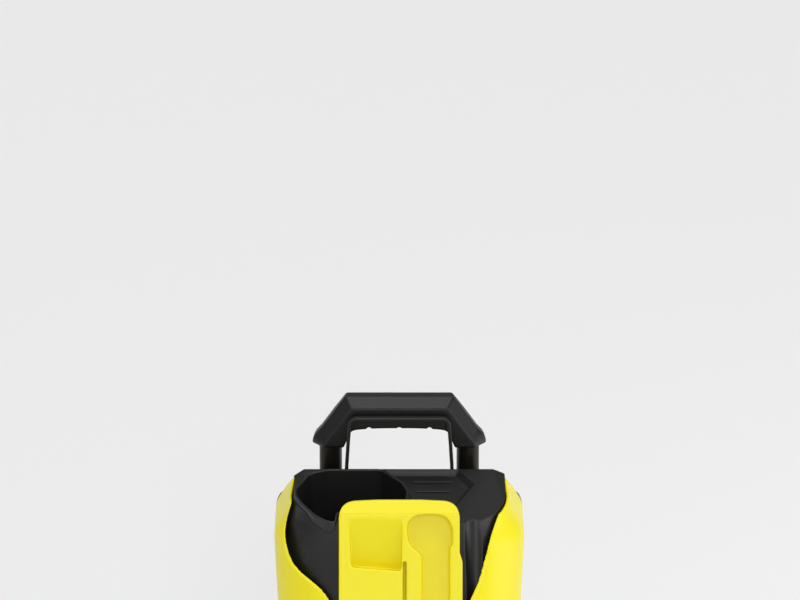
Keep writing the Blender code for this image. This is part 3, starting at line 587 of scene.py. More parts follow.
panel = on_slope(prism("panel", panel_outline(), "y", -3, 20, YELLOW))
cut(panel, plane_cut("brow", slope_point(3.0, 3.0), (0.0, -1.0, 1.15)))
pocket = on_slope(prism("pocket", rounded([(-56, 6), (-53, -56.3), (2.6, -60.6), (2.6, 6)], [3, 5, 5, 3], 8), "y", -30, 40))
cut(pocket, block("pocket_floor", (-90, -61.8, 380), (60, 60, 560)))
cut(panel, pocket)
TROUGH = [(24.6, -212), (55.7, -212), (55.7, -34.5), (58.7, -31.0), (58.5, -14.7), (55.7, -5.7), (50.8, -0.7), (44, 2.1),
          (34, 2.7), (27, 2.6), (20.3, 1.5), (13.8, -1.8), (10, -6.8), (8.8, -12.0), (8.8, -20.5), (10.5, -28.1),
          (13.5, -33.7), (20.1, -38.4), (24.6, -43.5)]
cut(panel, on_slope(prism("trough", rounded(TROUGH, [2] * 2 + [3] * 17, 4), "y", -20, 13)))
cut(panel, on_slope(block("slot", (3.9, -20, -210), (7.9, 8, -50))))
put(melted(panel, 0.8, 4), "body", "accessory_panel")

# ------------------------------------------------------- top cover and the well
WELL = rounded([(-21, 67), (-80, 67), (-99, 59), (-114.5, 24), (-113.5, 10), (-106, -8), (-93, -31), (-81, -43.5),
                (-72, -48.5), (-70.2, -24), (4, -24), (8, 20), (1, 40), (-12, 56)],
               [8, 16, 14, 16, 10, 14, 14, 10, 4, 9, 9, 12, 12, 0], 6)
WELL = WELL[::-1] if area(WELL) < 0 else WELL
WELL = even(WELL, 2.4)
CORE_LEVELS = [386, 400, 410, 420, 433, 446, 453, 460, 466, 472, 476, 480, 484, 488, 492, 495, 499, 502, 524]
cover = loft("cover_top", [core_ring(z, 0.0) for z in CORE_LEVELS], BLACK)
cut(cover, plane_cut("deck", (0, RIDGE_Y, DECK), DECK_NORMAL))
cut(cover, block("rear_step", (-200, RIDGE_Y, REAR_DECK_Z), (200, 200, 560)))
hollow = loft("hollow", [core_ring(z, WALL) for z in [376] + CORE_LEVELS[1:]])
cut(hollow, plane_cut("hollow_top", (0, RIDGE_Y, DECK - 13), DECK_NORMAL))
cut(hollow, block("hollow_rear", (-200, RIDGE_Y - 12, REAR_DECK_Z - 5), (200, 200, 560)))
cut(hollow, on_slope(peg("groove_wall", 12, -150, 45, "z", (85.5, 9), segments=32, radius2=19.5)))
cut(cover, hollow)
cut(cover, plane_cut("right_facet", (103, 75, 510.5), (0.377, -0.160, 0.912)))
cut(cover, plane_cut("diagonal_facet", (104, 68, 508.3), (0.148, -0.2134, 0.9657)))
cut(cover, plane_cut("left_facet", (-107, RIDGE_Y, DECK), (-0.557, -0.137, 0.819)))
cut(cover, on_slope(prism("panel_space", panel_outline(0.5), "y", -30, 20.3)))
cut(cover, prism("well_hole", grown(WELL, 3.02), "z", 370, 560))
TRAY_FLOOR = [(11.5, -20), (55, -20), (67.3, 11.2), (78, 37.5), (63, 66.0), (-13.5, 66.0), (-8.5, 59), (4.5, 42.2), (11.5, 20)]
TRAY_TOP = [(11.5, -20), (59, -20), (72.5, 11.2), (84, 37.5), (67, 69.8), (-16.5, 69.8), (-8.5, 59), (4.5, 42.2), (11.5, 20)]
tray = loft("tray", [[(x, y, -6.0) for x, y in TRAY_FLOOR], [(x, y, 0.0) for x, y in TRAY_TOP],
                     [(x, y, 40.0) for x, y in TRAY_TOP]])
tray.matrix_world = ON_DECK
cut(cover, tray)
cut(cover, on_slope(peg("groove", 9, -125, 30, "z", (85.5, 9), segments=48, radius2=16)))
for side in (-1, 1):
    cut(cover, peg(f"rod_hole_{side}", 16.2, REAR_DECK_Z - 18, 560, "z", (side * ROD_X, ROD_Y)))
put(melted(cover, 0.85, 3), "body", "top_cover")

for i, (x0, x1, y) in enumerate(((14.5, 61, 51), (18.4, 57, 29.5))):
    outline = rounded([(x0, y - 1.3), (x1, y - 1.3), (x1, y + 1.3), (x0, y + 1.3)], [1.25] * 4, 6)
    rib = prism(f"tray_rib_{i}", outline, "z", -6.2, -4.7, BLACK)
    rib.matrix_world = ON_DECK
    edges(rib, 0.6, 3, 40)
    put(rib, "body")


def well_rings():
    """The well's wall as rings: outside up, over the rolled rim, inside down, and the floor."""
    made = [[(x, y, 349.0) for x, y in grown(WELL, 3.0)], [(x, y, 400.0) for x, y in grown(WELL, 3.0)]]
    for offset, drop in ((3.0, 1.6), (2.9, 0.9), (2.6, 0.35), (2.1, 0.05), (1.5, 0), (0.9, 0.05), (0.4, 0.35), (0.1, 0.9), (0, 1.6)):
        made.append([(x, y, deck_z(y) + 1.2 - drop) for x, y in grown(WELL, offset)])
    for offset, z in ((0, 470), (0, 420), (0, 360), (-0.6, 356.5), (-2.0, 353.8), (-4.6, 352.3), (-7.0, 352.0)):
        made.append([(x, y, z if z < 400 else min(z, deck_z(y) - 2)) for x, y in grown(WELL, offset)])
    return made


well = loft("well_wall", well_rings(), BLACK)
cut(well, peg("drain", 5.2, 330, 370, "z", (-50, 20), segments=32))
baked(well)
put(edges(well, 0, smooth=40), "body", "bottle_well")

# ------------------------------------------------------------- the handle
OUTER = [(61, 584), (75, 564.5), (89, 545), (94.5, 539.2), (97.2, 534.5), (98, 531), (98, 528)]
OUTER_FRONT = [(54, 575), (67, 557), (80, 539), (83.4, 534.6), (85, 531.8), (85.4, 530), (85.6, 528)]
INNER = [(62.5, 528), (60, 534), (57.6, 540), (56.6, 543.2), (54.6, 546.4), (51, 548.6), (44, 549.6), (33, 550.4),
         (22, 550.9), (11, 551.1)]


def grip_ring(y, outer, drop=0.0, sink=0.0):
    right = [(x - drop, z - (drop if i < 1 else 0)) for i, (x, z) in enumerate(outer)] + INNER
    return [(x, y, z) for x, z in right] + [(-x, y, z) for x, z in reversed(right)]


def between(a, b, t):
    return [(x0 + (x1 - x0) * t, z0 + (z1 - z0) * t) for (x0, z0), (x1, z1) in zip(a, b)]


grip = loft("grip", [grip_ring(87, OUTER_FRONT), grip_ring(105, OUTER), grip_ring(123, OUTER, 1.5)], GRIP)
step = grip.modifiers.new("edges", "BEVEL")
step.width, step.segments, step.limit_method, step.angle_limit = 2.0 * MM, 4, "ANGLE", math.radians(22)
cut(grip, block("insert_seat", (-43.3, 91.7, 540), (43.3, 118.3, 557)))
for side in (-1, 1):
    cut(grip, peg(f"socket_{side}", 13.05, 500, 538.3, "z", (side * ROD_X, ROD_Y)))
for i, x in enumerate((-34, 0, 34)):
    cut(grip, peg(f"grip_notch_{i}", 3.0, 80, 130, "y", (x, 549.6), segments=40))
grip = put(melted(grip, 0.75, 3), "handle", "grip_shell")

insert = prism("insert", rounded([(-43, 551.4), (43, 551.4), (43, 556.7), (-43, 556.7)], [1.5, 1.5, 1.5, 1.5], 5), "y", 92, 118, GRIP)
for i, x in enumerate((-34, 0, 34)):
    cut(insert, peg(f"insert_notch_{i}", 3.0, 80, 130, "y", (x, 549.6), segments=40))
baked(insert)
put(edges(insert, 0.5, 2, 40), "handle", "grip_insert")

for side, tag in ((-1, "left"), (1, "right")):
    put(lathe(f"tube_{tag}", [(0, 547), (7.4, 547), (8, 546.4), (8, 538), (12.2, 538), (ROD_R, 537.4), (ROD_R, 37), (12.2, 36),
                              (9, 36), (9, 26), (7, 26), (7, 38), (11, 40), (11, 528), (0, 530)], "z",
              (side * ROD_X, ROD_Y, 0), TUBE, steps=96), "handle", f"rod_{tag}")
    top = REAR_DECK_Z + 8
    collar = lathe(f"collar_{tag}", [(14.4, top), (15.6, top - 0.15), (16.6, top - 0.8), (17.6, top - 1.9), (18.1, top - 3.2),
                                     (18.2, top - 4.6), (18.2, REAR_DECK_Z + GAP), (15.8, REAR_DECK_Z + GAP),
                                     (15.8, REAR_DECK_Z - 6), (13.2, REAR_DECK_Z - 6), (13.2, top - 1.2), (13.5, top - 0.3), (14.4, top)],
                   "z", (side * ROD_X, ROD_Y, 0), BLACK, steps=96)
    put(edges(collar, 0), "body", f"guide_collar_{tag}")
for name in ("tube_left", "tube_right"):
    edges(bpy.data.objects[name], 0)

bow_half = [(61.0, 512), (59.6, 535), (58.0, 556)]
sweep = [i * 7.5 for i in range(13)]
corner = [(48 + 10 * math.cos(math.radians(a)), 558 + 10 * math.sin(math.radians(a))) for a in sweep]
inner_corner = [(48 + 6 * math.cos(math.radians(a)), 558 + 6 * math.sin(math.radians(a))) for a in sweep]
foot_z = REAR_DECK_Z
bow_outer = [(66.5, foot_z + GAP), (66.5, foot_z + 5), (62.2, foot_z + 8)] + bow_half + corner
bow_inner = [(x - 4.0, z) for x, z in [(62.0, foot_z + 8)] + bow_half] + inner_corner
outline = bow_outer + [(-x, z) for x, z in reversed(bow_outer)] + [(-53.5, foot_z + GAP), (-53.5, foot_z + 5)] + \
    [(-x, z) for x, z in bow_inner] + [(x, z) for x, z in reversed(bow_inner)] + [(53.5, foot_z + 5), (53.5, foot_z + GAP)]
bow = prism("bow", outline, "y", 74.2, 83.2, BLACK)
put(edges(bow, 1.2, 4, 40), "body", "carry_bow")

# ------------------------------------------------- rear cover, front cover, base
cover_levels = [60.3, 100, 160, 220, 280, 340, 400, 430, 446, 455, 460, 466, 472, 480]
rear = loft("cover_rear", [skin_ring(z, 0.0, max(z, 60)) for z in cover_levels], BLACK)
cut(rear, block("rear_region", (-200, REAR_SEAM_Y + GAP, 0), (200, 260, REAR_DECK_Z - 12)), "INTERSECT")
shell = loft("rear_shell", [skin_ring(40, WALL, 60)] + [skin_ring(z, WALL) for z in cover_levels[1:]] + [skin_ring(560, WALL, 502)])
cut(rear, shell)
cut(rear, arch_left)
cut(rear, arch_right)
cut(rear, peg("inlet_hole", 12.4, 100, 160, "y", (42, 150)))
cut(rear, peg("gland_hole", 8.4, 100, 160, "y", (-45, 112)))
for i in range(9):
    z = 250 + i * 9.0
    slot_line = rounded([(-46, z), (46, z), (46, z + 3.6), (-46, z + 3.6)], [1.7] * 4, 5)
    cut(rear, prism(f"rear_vent_{i}", slot_line, "y", 120, 140))
for i, points in enumerate((rounded([(-92, 196), (92, 196), (92, 440), (-92, 440)], [14] * 4, 8),)):
    frame_cut = prism("rear_groove", points, "y", 129.0, 140)
    core = prism("rear_groove_core", grown(points, -1.6), "y", 120, 150)
    cut(frame_cut, core)
    cut(rear, frame_cut)
put(melted(rear, 0.95, 2), "body", "rear_cover")

front = loft("cover_front", [skin_ring(z, 0.0, max(z, 60)) for z in [60.3, 120, 180, 240, 300, 330]], BLACK)
cut(front, block("front_region", (-66.7, -260, 0), (70.0, -60, 283)), "INTERSECT")
cut(front, loft("front_shell", [skin_ring(40, WALL, 60)] + [skin_ring(z, WALL) for z in [120, 180, 240, 300, 340]]))
KNOB_W = -289.0
cut(front, on_slope(peg("knob_hole", 7.0, -40, 40, "y", (0, KNOB_W))))
cut(front, peg("outlet_hole", 13.6, -240, -120, "y", (0, 115)))
dial = on_slope(lathe("dial_ring", [(30.5, 4), (31.5, 4), (31.5, -0.8), (30.5, -0.8), (30.5, 4)], "y", (0, 0, 0), BLACK, steps=96))
dial.matrix_world = SLOPE_PLACE @ Matrix.Translation((0, 0, KNOB_W * MM)) @ Matrix.Rotation(-math.pi / 2, 4, "X")
dial.hide_render = True
cut(front, dial)
put(melted(front, 0.8, 2), "body", "front_cover")
hidden.objects.link(dial)
scene.collection.objects.unlink(dial)

base = loft("base", [skin_ring(12, 6.0, 10), skin_ring(13.2, 3.6, 10), skin_ring(16, 1.4, 10), skin_ring(19, 0.3, 10),
                     skin_ring(22, 0.0, 10), skin_ring(58.8, 0.0, 59), skin_ring(59.6, 0.25), skin_ring(60, 0.9)], BLACK)
cut(base, loft("base_space", [skin_ring(17, 8.0, 10), skin_ring(24, 4.0, 10), skin_ring(80, 4.0, 60)]))
for side, tag in ((-1, "left"), (1, "right")):
    lo, hi = sorted((side * 99.0, side * 114.0))
    cut(base, block(f"axle_wall_{tag}", (lo, 62, 14), (hi, 116, 132)), "UNION")
    cut(base, peg(f"axle_bore_{tag}", 6.3, *sorted((side * 100.5, side * 140)), "x", (105, 95)))
for i in range(5):
    cut(base, prism(f"base_rib_{i}", rounded([(-70 + i * 35 - 12, -150), (-70 + i * 35 + 12, -150), (-70 + i * 35 + 12, 70),
                                              (-70 + i * 35 - 12, 70)], [5] * 4, 5), "z", 8, 13.2))
baked(base)
put(edges(base, 0.6, 2, 40), "body", "chassis_base")

# ---------------------------------------------------------------- the wheels
WHEEL_X, AXLE_Y, AXLE_Z, WHEEL_W = 140.5, 105.0, 95.0, 24.0
half = WHEEL_W / 2


def tread(r, h, turn):
    """Lugs across the tyre's crown, staggered from one shoulder to the other."""
    if r < 91.5:
        return r
    phase = (turn * 48 / (2 * math.pi) + (0.5 if h > 0.5 else 0.0)) % 1.0
    centre = abs(h) < 1.3
    return r - (1.5 if (phase < 0.26 and not centre) or (centre and r > 94) else 0.0)


for side, tag in ((-1, "left"), (1, "right")):
    flip = side < 0
    place = (side * WHEEL_X, AXLE_Y, AXLE_Z)
    tyre = lathe(f"wheel_tyre_{tag}", [(86, half - 0.2), (89, half), (91.2, half - 0.8), (93.0, half - 2.2), (94.0, half - 3.8),
                                       (94.7, half - 6), (94.9, 3.0), (95, 1.4), (95, 1.2), (95, -1.2), (95, -1.4), (94.9, -3.0),
                                       (94.7, -half + 6), (94.0, -half + 3.8), (93.0, -half + 2.2), (91.2, -half + 0.8),
                                       (89, -half), (86, -half + 0.2), (82, -half + 0.9), (79, -half + 1), (77, -half + 5),
                                       (77, half - 5), (79, half - 1), (80.5, half - 1.1), (81.2, half - 0.4), (83, half - 0.3),
                                       (83.6, half - 0.9), (86, half - 0.2)],
                 "x", place, TYRE, steps=384, flip=flip, bend=tread)
    tyre.data.shade_smooth()
    tyre.data.set_sharp_from_angle(angle=math.radians(30))
    put(tyre, f"wheel_{tag}", f"tyre_{tag}")
    hub = lathe(f"wheel_hub_{tag}", [(76.7, half - 5.5), (76.7, -half + 5.5), (75.8, -half + 5.0), (70, -half + 5.5), (68, -2), (20, -5),
                                     (17, -half + 1), (6.4, -half + 1), (6.4, half - 7), (17, half - 7), (18.4, half - 7.3),
                                     (22, 0), (24, -0.2), (62, 3.2), (66, 4), (69, half - 4.2), (71, half - 3), (72.2, half - 2.8),
                                     (75, half - 3.5), (76.2, half - 4.4), (76.7, half - 5.5)],
                "x", place, BLACK, steps=192, flip=flip)
    edges(hub, 0, smooth=28)
    put(hub, f"wheel_{tag}", f"hub_{tag}")
    for i in range(8):
        bm = bmesh.new()
        rows = []
        for r, h, w in ((21, half - 8.2, 3.4), (30, 4.6, 3.2), (45, 5.4, 3.6), (60, 6.6, 4.4), (69, half - 4.2, 5.4)):
            floor_h = -0.6 + (r - 22) * 0.09
            rows.append([(r, -w, floor_h - 0.6), (r, w, floor_h - 0.6), (r, w * 0.72, h - 0.5), (r, w * 0.5, h), (r, -w * 0.5, h), (r, -w * 0.72, h - 0.5)])
        rows = [[bm.verts.new([v * MM for v in p]) for p in row] for row in rows]
        for a, b in zip(rows, rows[1:]):
            for k in range(6):
                bm.faces.new((a[k], a[(k + 1) % 6], b[(k + 1) % 6], b[k]))
        bm.faces.new(rows[0][::-1])
        bm.faces.new(rows[-1])
        bmesh.ops.rotate(bm, cent=(0, 0, 0), matrix=Matrix.Rotation(2 * math.pi * i / 8, 3, "Z"), verts=bm.verts[:])
        spoke = new(f"spoke_{tag}_{i}", bm, BLACK)
        spoke.rotation_euler = (0, -math.pi / 2 if flip else math.pi / 2, 0)
        spoke.location = [v * MM for v in place]
        edges(spoke, 0.5, 2, 30)
        put(spoke, f"wheel_{tag}")
    cap = lathe(f"wheel_cap_{tag}", [(0, half - 1.2), (4, half - 1.22), (9, half - 1.6), (12, half - 2.2), (14.4, half - 3.2), (16.0, half - 4.4),
                                     (16.6, half - 5.6), (16.6, half - 6.6), (0, half - 6.6)], "x", place, GREY, steps=96, flip=flip)
    edges(cap, 0)
    put(cap, f"wheel_{tag}", f"hub_cap_{tag}")
    foot = lathe(f"rubber_foot_{tag}", [(0, 11.7), (14.6, 11.7), (15.4, 11.2), (16, 10), (15.6, 8.4), (15.3, 8.2), (15.3, 7.2), (15.4, 7.0),
                                        (14.3, 1.0), (13.6, 0.2), (13, 0), (0, 0)], "z", (side * 72, -158, 0), RUBBER, steps=96)
    edges(foot, 0)
    put(foot, "body", f"foot_{tag}")

# ------------------------------------------------------ knob, outlet and inlet
knob_place = SLOPE_PLACE @ Matrix.Translation((0, 0, KNOB_W * MM)) @ Matrix.Rotation(math.pi / 2, 4, "X")


def flutes(r, h, turn):
    return r - 0.7 * max(0.0, math.cos(turn * 24)) if 24.5 < r < 27.5 and 2 < h < 15.5 else r


knob = lathe("knob", [(0, 16.4), (20, 16.4), (21.5, 17), (23.4, 17), (24.6, 16.3), (25.4, 15), (26.2, 9), (26.9, 4), (27, 1.8), (26.6, 1.2),
                      (6.6, 1.2), (6.6, -2), (0, -2)], "z", (0, 0, 0), BLACK, steps=288, bend=flutes)
knob.matrix_world = knob_place
bar_line = rounded([(-5, -24), (5, -24), (5, 24), (-5, 24)], [4.6] * 4, 8)
bar = loft("knob_grip", [[(x, y, 10) for x, y in bar_line], [(x, y, 19.6) for x, y in grown(bar_line, -0.1)],
                         [(x, y, 20.6) for x, y in grown(bar_line, -0.5)], [(x, y, 21) for x, y in grown(bar_line, -1.2)]])
bar.matrix_world = knob_place
cut(knob, bar, "UNION")
baked(knob)
put(edges(knob, 0.4, 2, 32), "power_knob", "power_knob")
mark_line = rounded([(-1.0, 12), (1.0, 12), (1.0, 22), (-1.0, 22)], [0.9] * 4, 6)
mark = loft("knob_mark", [[(x, y, 20.6) for x, y in mark_line], [(x, y, 21.25) for x, y in mark_line],
                          [(x, y, 21.4) for x, y in grown(mark_line, -0.15)]], GREY)
mark.matrix_world = knob_place
edges(mark, 0)
put(mark, "power_knob")


def thread(r, h, turn):
    """Returns the radius unchanged: no thread crest is shaped here."""
    return r


outlet = lathe("outlet", [(11, -134.4), (11, -160), (12.2, -161), (12.2, -163), (11.2, -164.0), (12.2, -165), (12.2, -167), (11.2, -168.0),
                          (12.2, -169), (12.2, -171), (11.2, -172.0), (12.2, -173), (12.2, -175), (11.4, -176), (13, -178), (13, -193),
                          (12.4, -195.4), (11, -196), (7, -196), (6, -195), (6, -150), (3, -150), (3, -134.4), (11, -134.4)],
               "y", (0, 0, 115), BRASS, steps=128)
edges(outlet, 0, smooth=30)
put(outlet, "body", "pressure_outlet")


def lugs(r, h, turn):
    return r - 0.8 * max(0.0, math.cos(turn * 12)) if r > 17 else r


inlet = lathe("inlet", [(14.4, 160), (15, 159.6), (15.6, 158.6), (14.6, 157.6), (15.8, 156.6), (14.7, 155.4), (15.9, 154.2), (14.8, 153.0),
                        (16, 151.8), (15, 150.6), (16, 149.4), (15.4, 147.6), (16, 145.4), (17.5, 143), (17.5, 130.7), (17, 130.4),
                        (12, 130.4), (12, 112), (7, 112), (7, 140), (9.5, 142), (9.5, 159.4), (10.1, 160), (14.4, 160)],
              "y", (42, 0, 150), BLACK, steps=144, bend=lugs)
edges(inlet, 0, smooth=30)
put(inlet, "body", "water_inlet")
gland = lathe("gland", [(8.6, 136), (11.4, 136), (12.3, 135.6), (13, 134.5), (13, 131.0), (12.6, 130.4), (8, 130.4), (8, 120), (4.2, 120),
                        (4.2, 135.2), (5.0, 135.6), (5.6, 134.9), (8.0, 134.9), (8.6, 136)], "y", (-45, 0, 112), BLACK, steps=96)
edges(gland, 0, smooth=30)
put(gland, "body", "cable_gland")
for side, tag in ((-1, "left"), (1, "right")):
    z = REAR_DECK_Z
    screw = lathe(f"screw_{tag}", [(0, z + 1.6), (1.9, z + 1.6), (1.9, z + 3.0), (2.6, z + 2.95), (3.6, z + 2.4), (4.2, z + 1.6), (4.4, z + 0.8),
                                   (4.4, z + GAP), (0, z + GAP)], "z", (side * 40, 100, 0), STEEL, steps=60,
                  bend=lambda r, h, t: 1.5 + 0.55 * abs(math.cos(3 * t)) if abs(r - 1.9) < 0.01 else r)
    edges(screw, 0, smooth=30)
    put(screw, "body", f"deck_screw_{tag}")

# ---------------------------------------------------------- inside the covers
M_Z = 115.0


def turned_in(name, node, profile, axis, at_point, look, body="body", steps=96, smooth=30, bend=None, flip=False):
    made = lathe(name, profile, axis, at_point, look, steps=steps, bend=bend, flip=flip)
    edges(made, 0, smooth=smooth)
    return put(made, body, node)


def fins(r, h, turn):
    return r - 1.6 * max(0.0, math.cos(turn * 30)) if r > 49 and -2 < h < 80 else r


turned_in("motor_case", "motor_housing", [(49.2, 84), (50, 83.2), (50, 82), (50, 78), (50, 2), (50, -6.8), (49, -8), (10, -8), (10, -4), (46, -4),
                                          (46, 84), (49.2, 84)], "y", (0, 0, M_Z), ALUMINIUM, steps=240, bend=fins)
turned_in("motor_cap", "motor_end_cap", [(49.2, 99.4), (50, 98.6), (50, 84.3), (7.5, 84.3), (7.5, 88), (44, 88), (44, 99.4), (49.2, 99.4)], "y",
          (0, 0, M_Z), BLACK)
turned_in("winding_pack", "stator", [(45.6, 64), (45.6, 6), (44, 6), (38, 6.4), (34, 7.6), (30, 9), (30, 61), (34, 62.6), (38, 63.6), (44, 64), (45.6, 64)], "y",
          (0, 0, M_Z), WINDING, steps=192, bend=lambda r, h, t: r + 0.8 * max(0.0, math.cos(t * 24)) if r < 40 and (h < 12 or h > 58) else r)
turned_in("motor_rotor", "rotor", [(0, 98), (4.4, 98), (5, 97.4), (5, 66), (22, 65), (28.8, 60), (28.8, 10), (22, 5), (5, 4), (5, -29.4), (4.4, -30), (0, -30)], "y",
          (0, 0, M_Z), STEEL, "motor_shaft", steps=144, bend=lambda r, h, t: r - 0.7 * max(0.0, math.cos(t * 18)) if r > 28 else r)
turned_in("motor_fan", "cooling_fan", [(9, 97), (30, 96), (41, 94.4), (41, 92.6), (28, 92.4), (9, 90), (5.3, 90), (5.3, 97), (9, 97)], "y",
          (0, 0, M_Z), GREY, "motor_shaft", steps=144, bend=lambda r, h, t: r - 7.0 * max(0.0, math.cos(t * 9)) ** 2 if r > 40 else r)
turned_in("wobble_carrier", "pump_bracket", [(46, -8.4), (46, -65.6), (41, -65.6), (41, -12), (12, -12), (12, -8.4), (46, -8.4)], "y", (0, 0, M_Z), ALUMINIUM)
for i in range(3):
    a = math.radians(90 + 120 * i)
    px, pz = 18 * math.cos(a), M_Z + 18 * math.sin(a)
    turned_in(f"plunger_{i + 1}", f"piston_{i + 1}", [(0, -46.8), (7.4, -46.8), (8, -47.2), (8, -49.4), (7.6, -49.8), (5.5, -49.8), (5.5, -97.2), (4.9, -98), (0, -98)],
              "y", (px, 0, pz), STEEL, f"piston_{i + 1}", steps=64)
    coil = bpy.data.curves.new(f"coil_{i + 1}", "CURVE")
    coil.dimensions, coil.bevel_depth, coil.bevel_resolution, coil.use_fill_caps = "3D", 0.7 * MM, 4, True
    line = coil.splines.new("POLY")
    count = 3 * 28
    line.points.add(count)
    for k, knot in enumerate(line.points):
        t = 2 * math.pi * k / 28
        knot.co = ((px + 7.2 * math.cos(t)) * MM, (-51.1 - k / count * 13.0) * MM, (pz + 7.2 * math.sin(t)) * MM, 1.0)
    source = bpy.data.objects.new(f"coil_{i + 1}", coil)
    scene.collection.objects.link(source)
    bpy.context.view_layer.update()
    mesh = bpy.data.meshes.new_from_object(source.evaluated_get(bpy.context.evaluated_depsgraph_get()))
    bpy.data.objects.remove(source, do_unlink=True)
    spring = bpy.data.objects.new(f"return_spring_{i + 1}", mesh)
    scene.collection.objects.link(spring)
    mesh.materials.clear()
    mesh.materials.append(STEEL)
    mesh.shade_smooth()
    put(spring, "body", f"piston_spring_{i + 1}")
    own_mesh(spring)
for side, tag in ((-1, "left"), (1, "right")):
    turned_in(f"rod_end_{tag}", f"rod_plug_{tag}", [(13.1, 35.7), (13.1, 21.5), (12.7, 20.5), (11.8, 20), (9.3, 20), (9.3, 35.7), (13.1, 35.7)], "z",
              (side * ROD_X, ROD_Y, 0), GREY, "handle")
    turned_in(f"guide_{tag}", f"guide_tube_{tag}", [(15.6, 471.7), (15.6, 17.4), (13.5, 17.4), (13.5, 470.9), (14.1, 471.7), (15.6, 471.7)], "z",
              (side * ROD_X, ROD_Y, 0), GREY)
    turned_in(f"wheel_axle_{tag}", f"axle_{tag}", [(0, half - 7.3), (5.4, half - 7.3), (6, half - 7.9), (6, -half - 26.4), (5.4, -half - 27), (0, -half - 27)], "x",
              (side * WHEEL_X, AXLE_Y, AXLE_Z), STEEL, steps=64, flip=side < 0)
filter_piece = turned_in("filter_cup", "inlet_filter", [(8.5, 158), (9.1, 157.4), (9.1, 142.4), (5, 142.4), (5, 144), (7.4, 144), (7.4, 158), (8.5, 158)], "y",
                         (42, 0, 150), FILTER, steps=96, bend=lambda r, h, t: r - 0.3 * max(0.0, math.cos(t * 24)) if r > 9 else r)


def hose(name, node, points, radius, ribs):
    """A moulded rubber hose along a smooth line, with faint rings."""
    ends = [points[0]] + points + [points[-1]]
    path = []
    for p0, p1, p2, p3 in zip(ends, ends[1:], ends[2:], ends[3:]):
        for k in range(14):
            t = k / 14
            path.append(Vector([0.5 * ((2 * b) + (c - a) * t + (2 * a - 5 * b + 4 * c - d) * t * t + (3 * b - a - 3 * c + d) * t ** 3)
                                for a, b, c, d in zip(p0, p1, p2, p3)]))
    path.append(Vector(points[-1]))
    rings = []
    side = None
    for i, p in enumerate(path):
        ahead = (path[min(i + 1, len(path) - 1)] - path[max(i - 1, 0)]).normalized()
        side = ahead.orthogonal().normalized() if side is None else (side - ahead * side.dot(ahead)).normalized()
        other = ahead.cross(side)
        r = radius - (ribs if i % 3 == 1 else 0.0)
        rings.append([tuple(p + (side * math.cos(a) + other * math.sin(a)) * r) for a in [2 * math.pi * k / 24 for k in range(24)]])
    made = loft(name, rings, RUBBER)
    made.data.shade_smooth()
    made.data.set_sharp_from_angle(angle=math.radians(50))
    return put(made, "body", node)


hose("feed_hose", "inlet_hose", [(42, 111.4, 150), (44, 100, 151), (56, 80, 158), (58, 20, 168), (56, -40, 160), (56, -80, 134),
                                 (52, -98, 115.3), (39.4, -98, 115)], 5.95, 0.12)
hose("suction_hose", "detergent_hose", [(-50, 20, 347.5), (-50, 20, 320), (-52, 0, 270), (-54, -50, 200), (-56, -90, 140), (-51, -100, 116),
                                        (-38.6, -100, 115)], 3.45, 0.08)

# ------------------------------------------------------------- camera, light
REAR_ROD_Y = 105.0
ELEVATION = math.radians(18.0)
DISTANCE = 6.0
aim = Vector((0.0008, REAR_ROD_Y * MM, 0.6974))
camera = bpy.data.objects.new("camera", bpy.data.cameras.new("camera"))
scene.collection.objects.link(camera)
scene.camera = camera
camera.data.sensor_width = 36.0
camera.data.lens = 241.4
back = Vector((0.0, -math.cos(ELEVATION), math.sin(ELEVATION)))
camera.location = aim + back * DISTANCE
camera.rotation_mode = "QUATERNION"
camera.rotation_quaternion = (-back).to_track_quat("-Z", "Y")
camera.data.clip_start, camera.data.clip_end = 0.05, 60.0


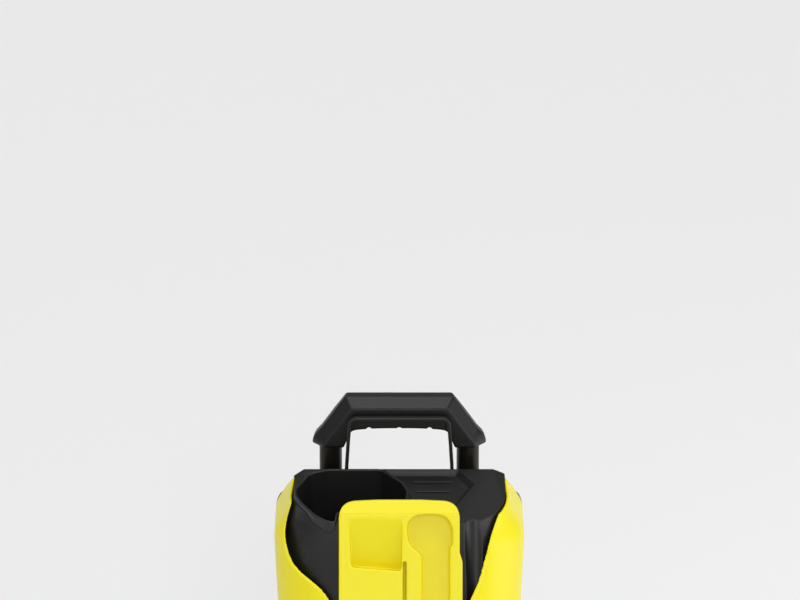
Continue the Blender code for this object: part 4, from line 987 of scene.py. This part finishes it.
def sun(name, toward, strength, spread):
    """Even light from a direction, soft by its width in degrees."""
    light = bpy.data.lights.new(name, "SUN")
    light.energy = strength
    light.angle = math.radians(spread)
    made = bpy.data.objects.new(name, light)
    scene.collection.objects.link(made)
    made.rotation_mode = "QUATERNION"
    made.rotation_quaternion = (-Vector(toward)).to_track_quat("-Z", "Y")
    made.location = Vector(toward) * 3
    return made


def lamp(name, place, target, size, power):
    light = bpy.data.lights.new(name, "AREA")
    light.shape = "RECTANGLE"
    light.size, light.size_y = size
    light.energy = power
    made = bpy.data.objects.new(name, light)
    scene.collection.objects.link(made)
    made.location = place
    made.rotation_mode = "QUATERNION"
    made.rotation_quaternion = (Vector(target) - Vector(place)).to_track_quat("-Z", "Y")
    return made


sun("front_key", (0.1, -1.0, 0.45), 0.54, 14)
sun("right_key", (0.9, -0.6, 0.9), 0.45, 30)
sun("top_light", (0.0, 0.1, 1.0), 1.3, 50)
sun("left_fill", (-1.0, -0.7, 0.8), 0.42, 50)
lamp("right_softbox", (2.2, -0.1, 0.7), (0, 0, 0.4), (1.6, 1.4), 14)

world = bpy.data.worlds.new("studio")
scene.world = world
world.use_nodes = True
nodes, links = world.node_tree.nodes, world.node_tree.links
facing = nodes.new("ShaderNodeTexCoord")
parts_of = nodes.new("ShaderNodeSeparateXYZ")
links.new(facing.outputs["Generated"], parts_of.inputs["Vector"])
level = nodes.new("ShaderNodeMapRange")
level.inputs["From Min"].default_value, level.inputs["From Max"].default_value = -1.0, 1.0
level.inputs["To Min"].default_value, level.inputs["To Max"].default_value = 0.46, 0.16
links.new(parts_of.outputs["Y"], level.inputs["Value"])
links.new(level.outputs["Result"], nodes["Background"].inputs["Strength"])
nodes["Background"].inputs["Color"].default_value = (1, 1, 1, 1)

floor_mesh = bpy.data.meshes.new("floor")
bm = bmesh.new()
bmesh.ops.create_grid(bm, x_segments=1, y_segments=1, size=30)
bm.to_mesh(floor_mesh)
bm.free()
floor = bpy.data.objects.new("floor", floor_mesh)
scene.collection.objects.link(floor)
floor_look = bpy.data.materials.new("floor")
floor_look.use_nodes = True
floor_look.node_tree.nodes["Principled BSDF"].inputs["Base Color"].default_value = (0.86, 0.86, 0.86, 1)
floor_look.node_tree.nodes["Principled BSDF"].inputs["Roughness"].default_value = 0.9
floor_mesh.materials.append(floor_look)
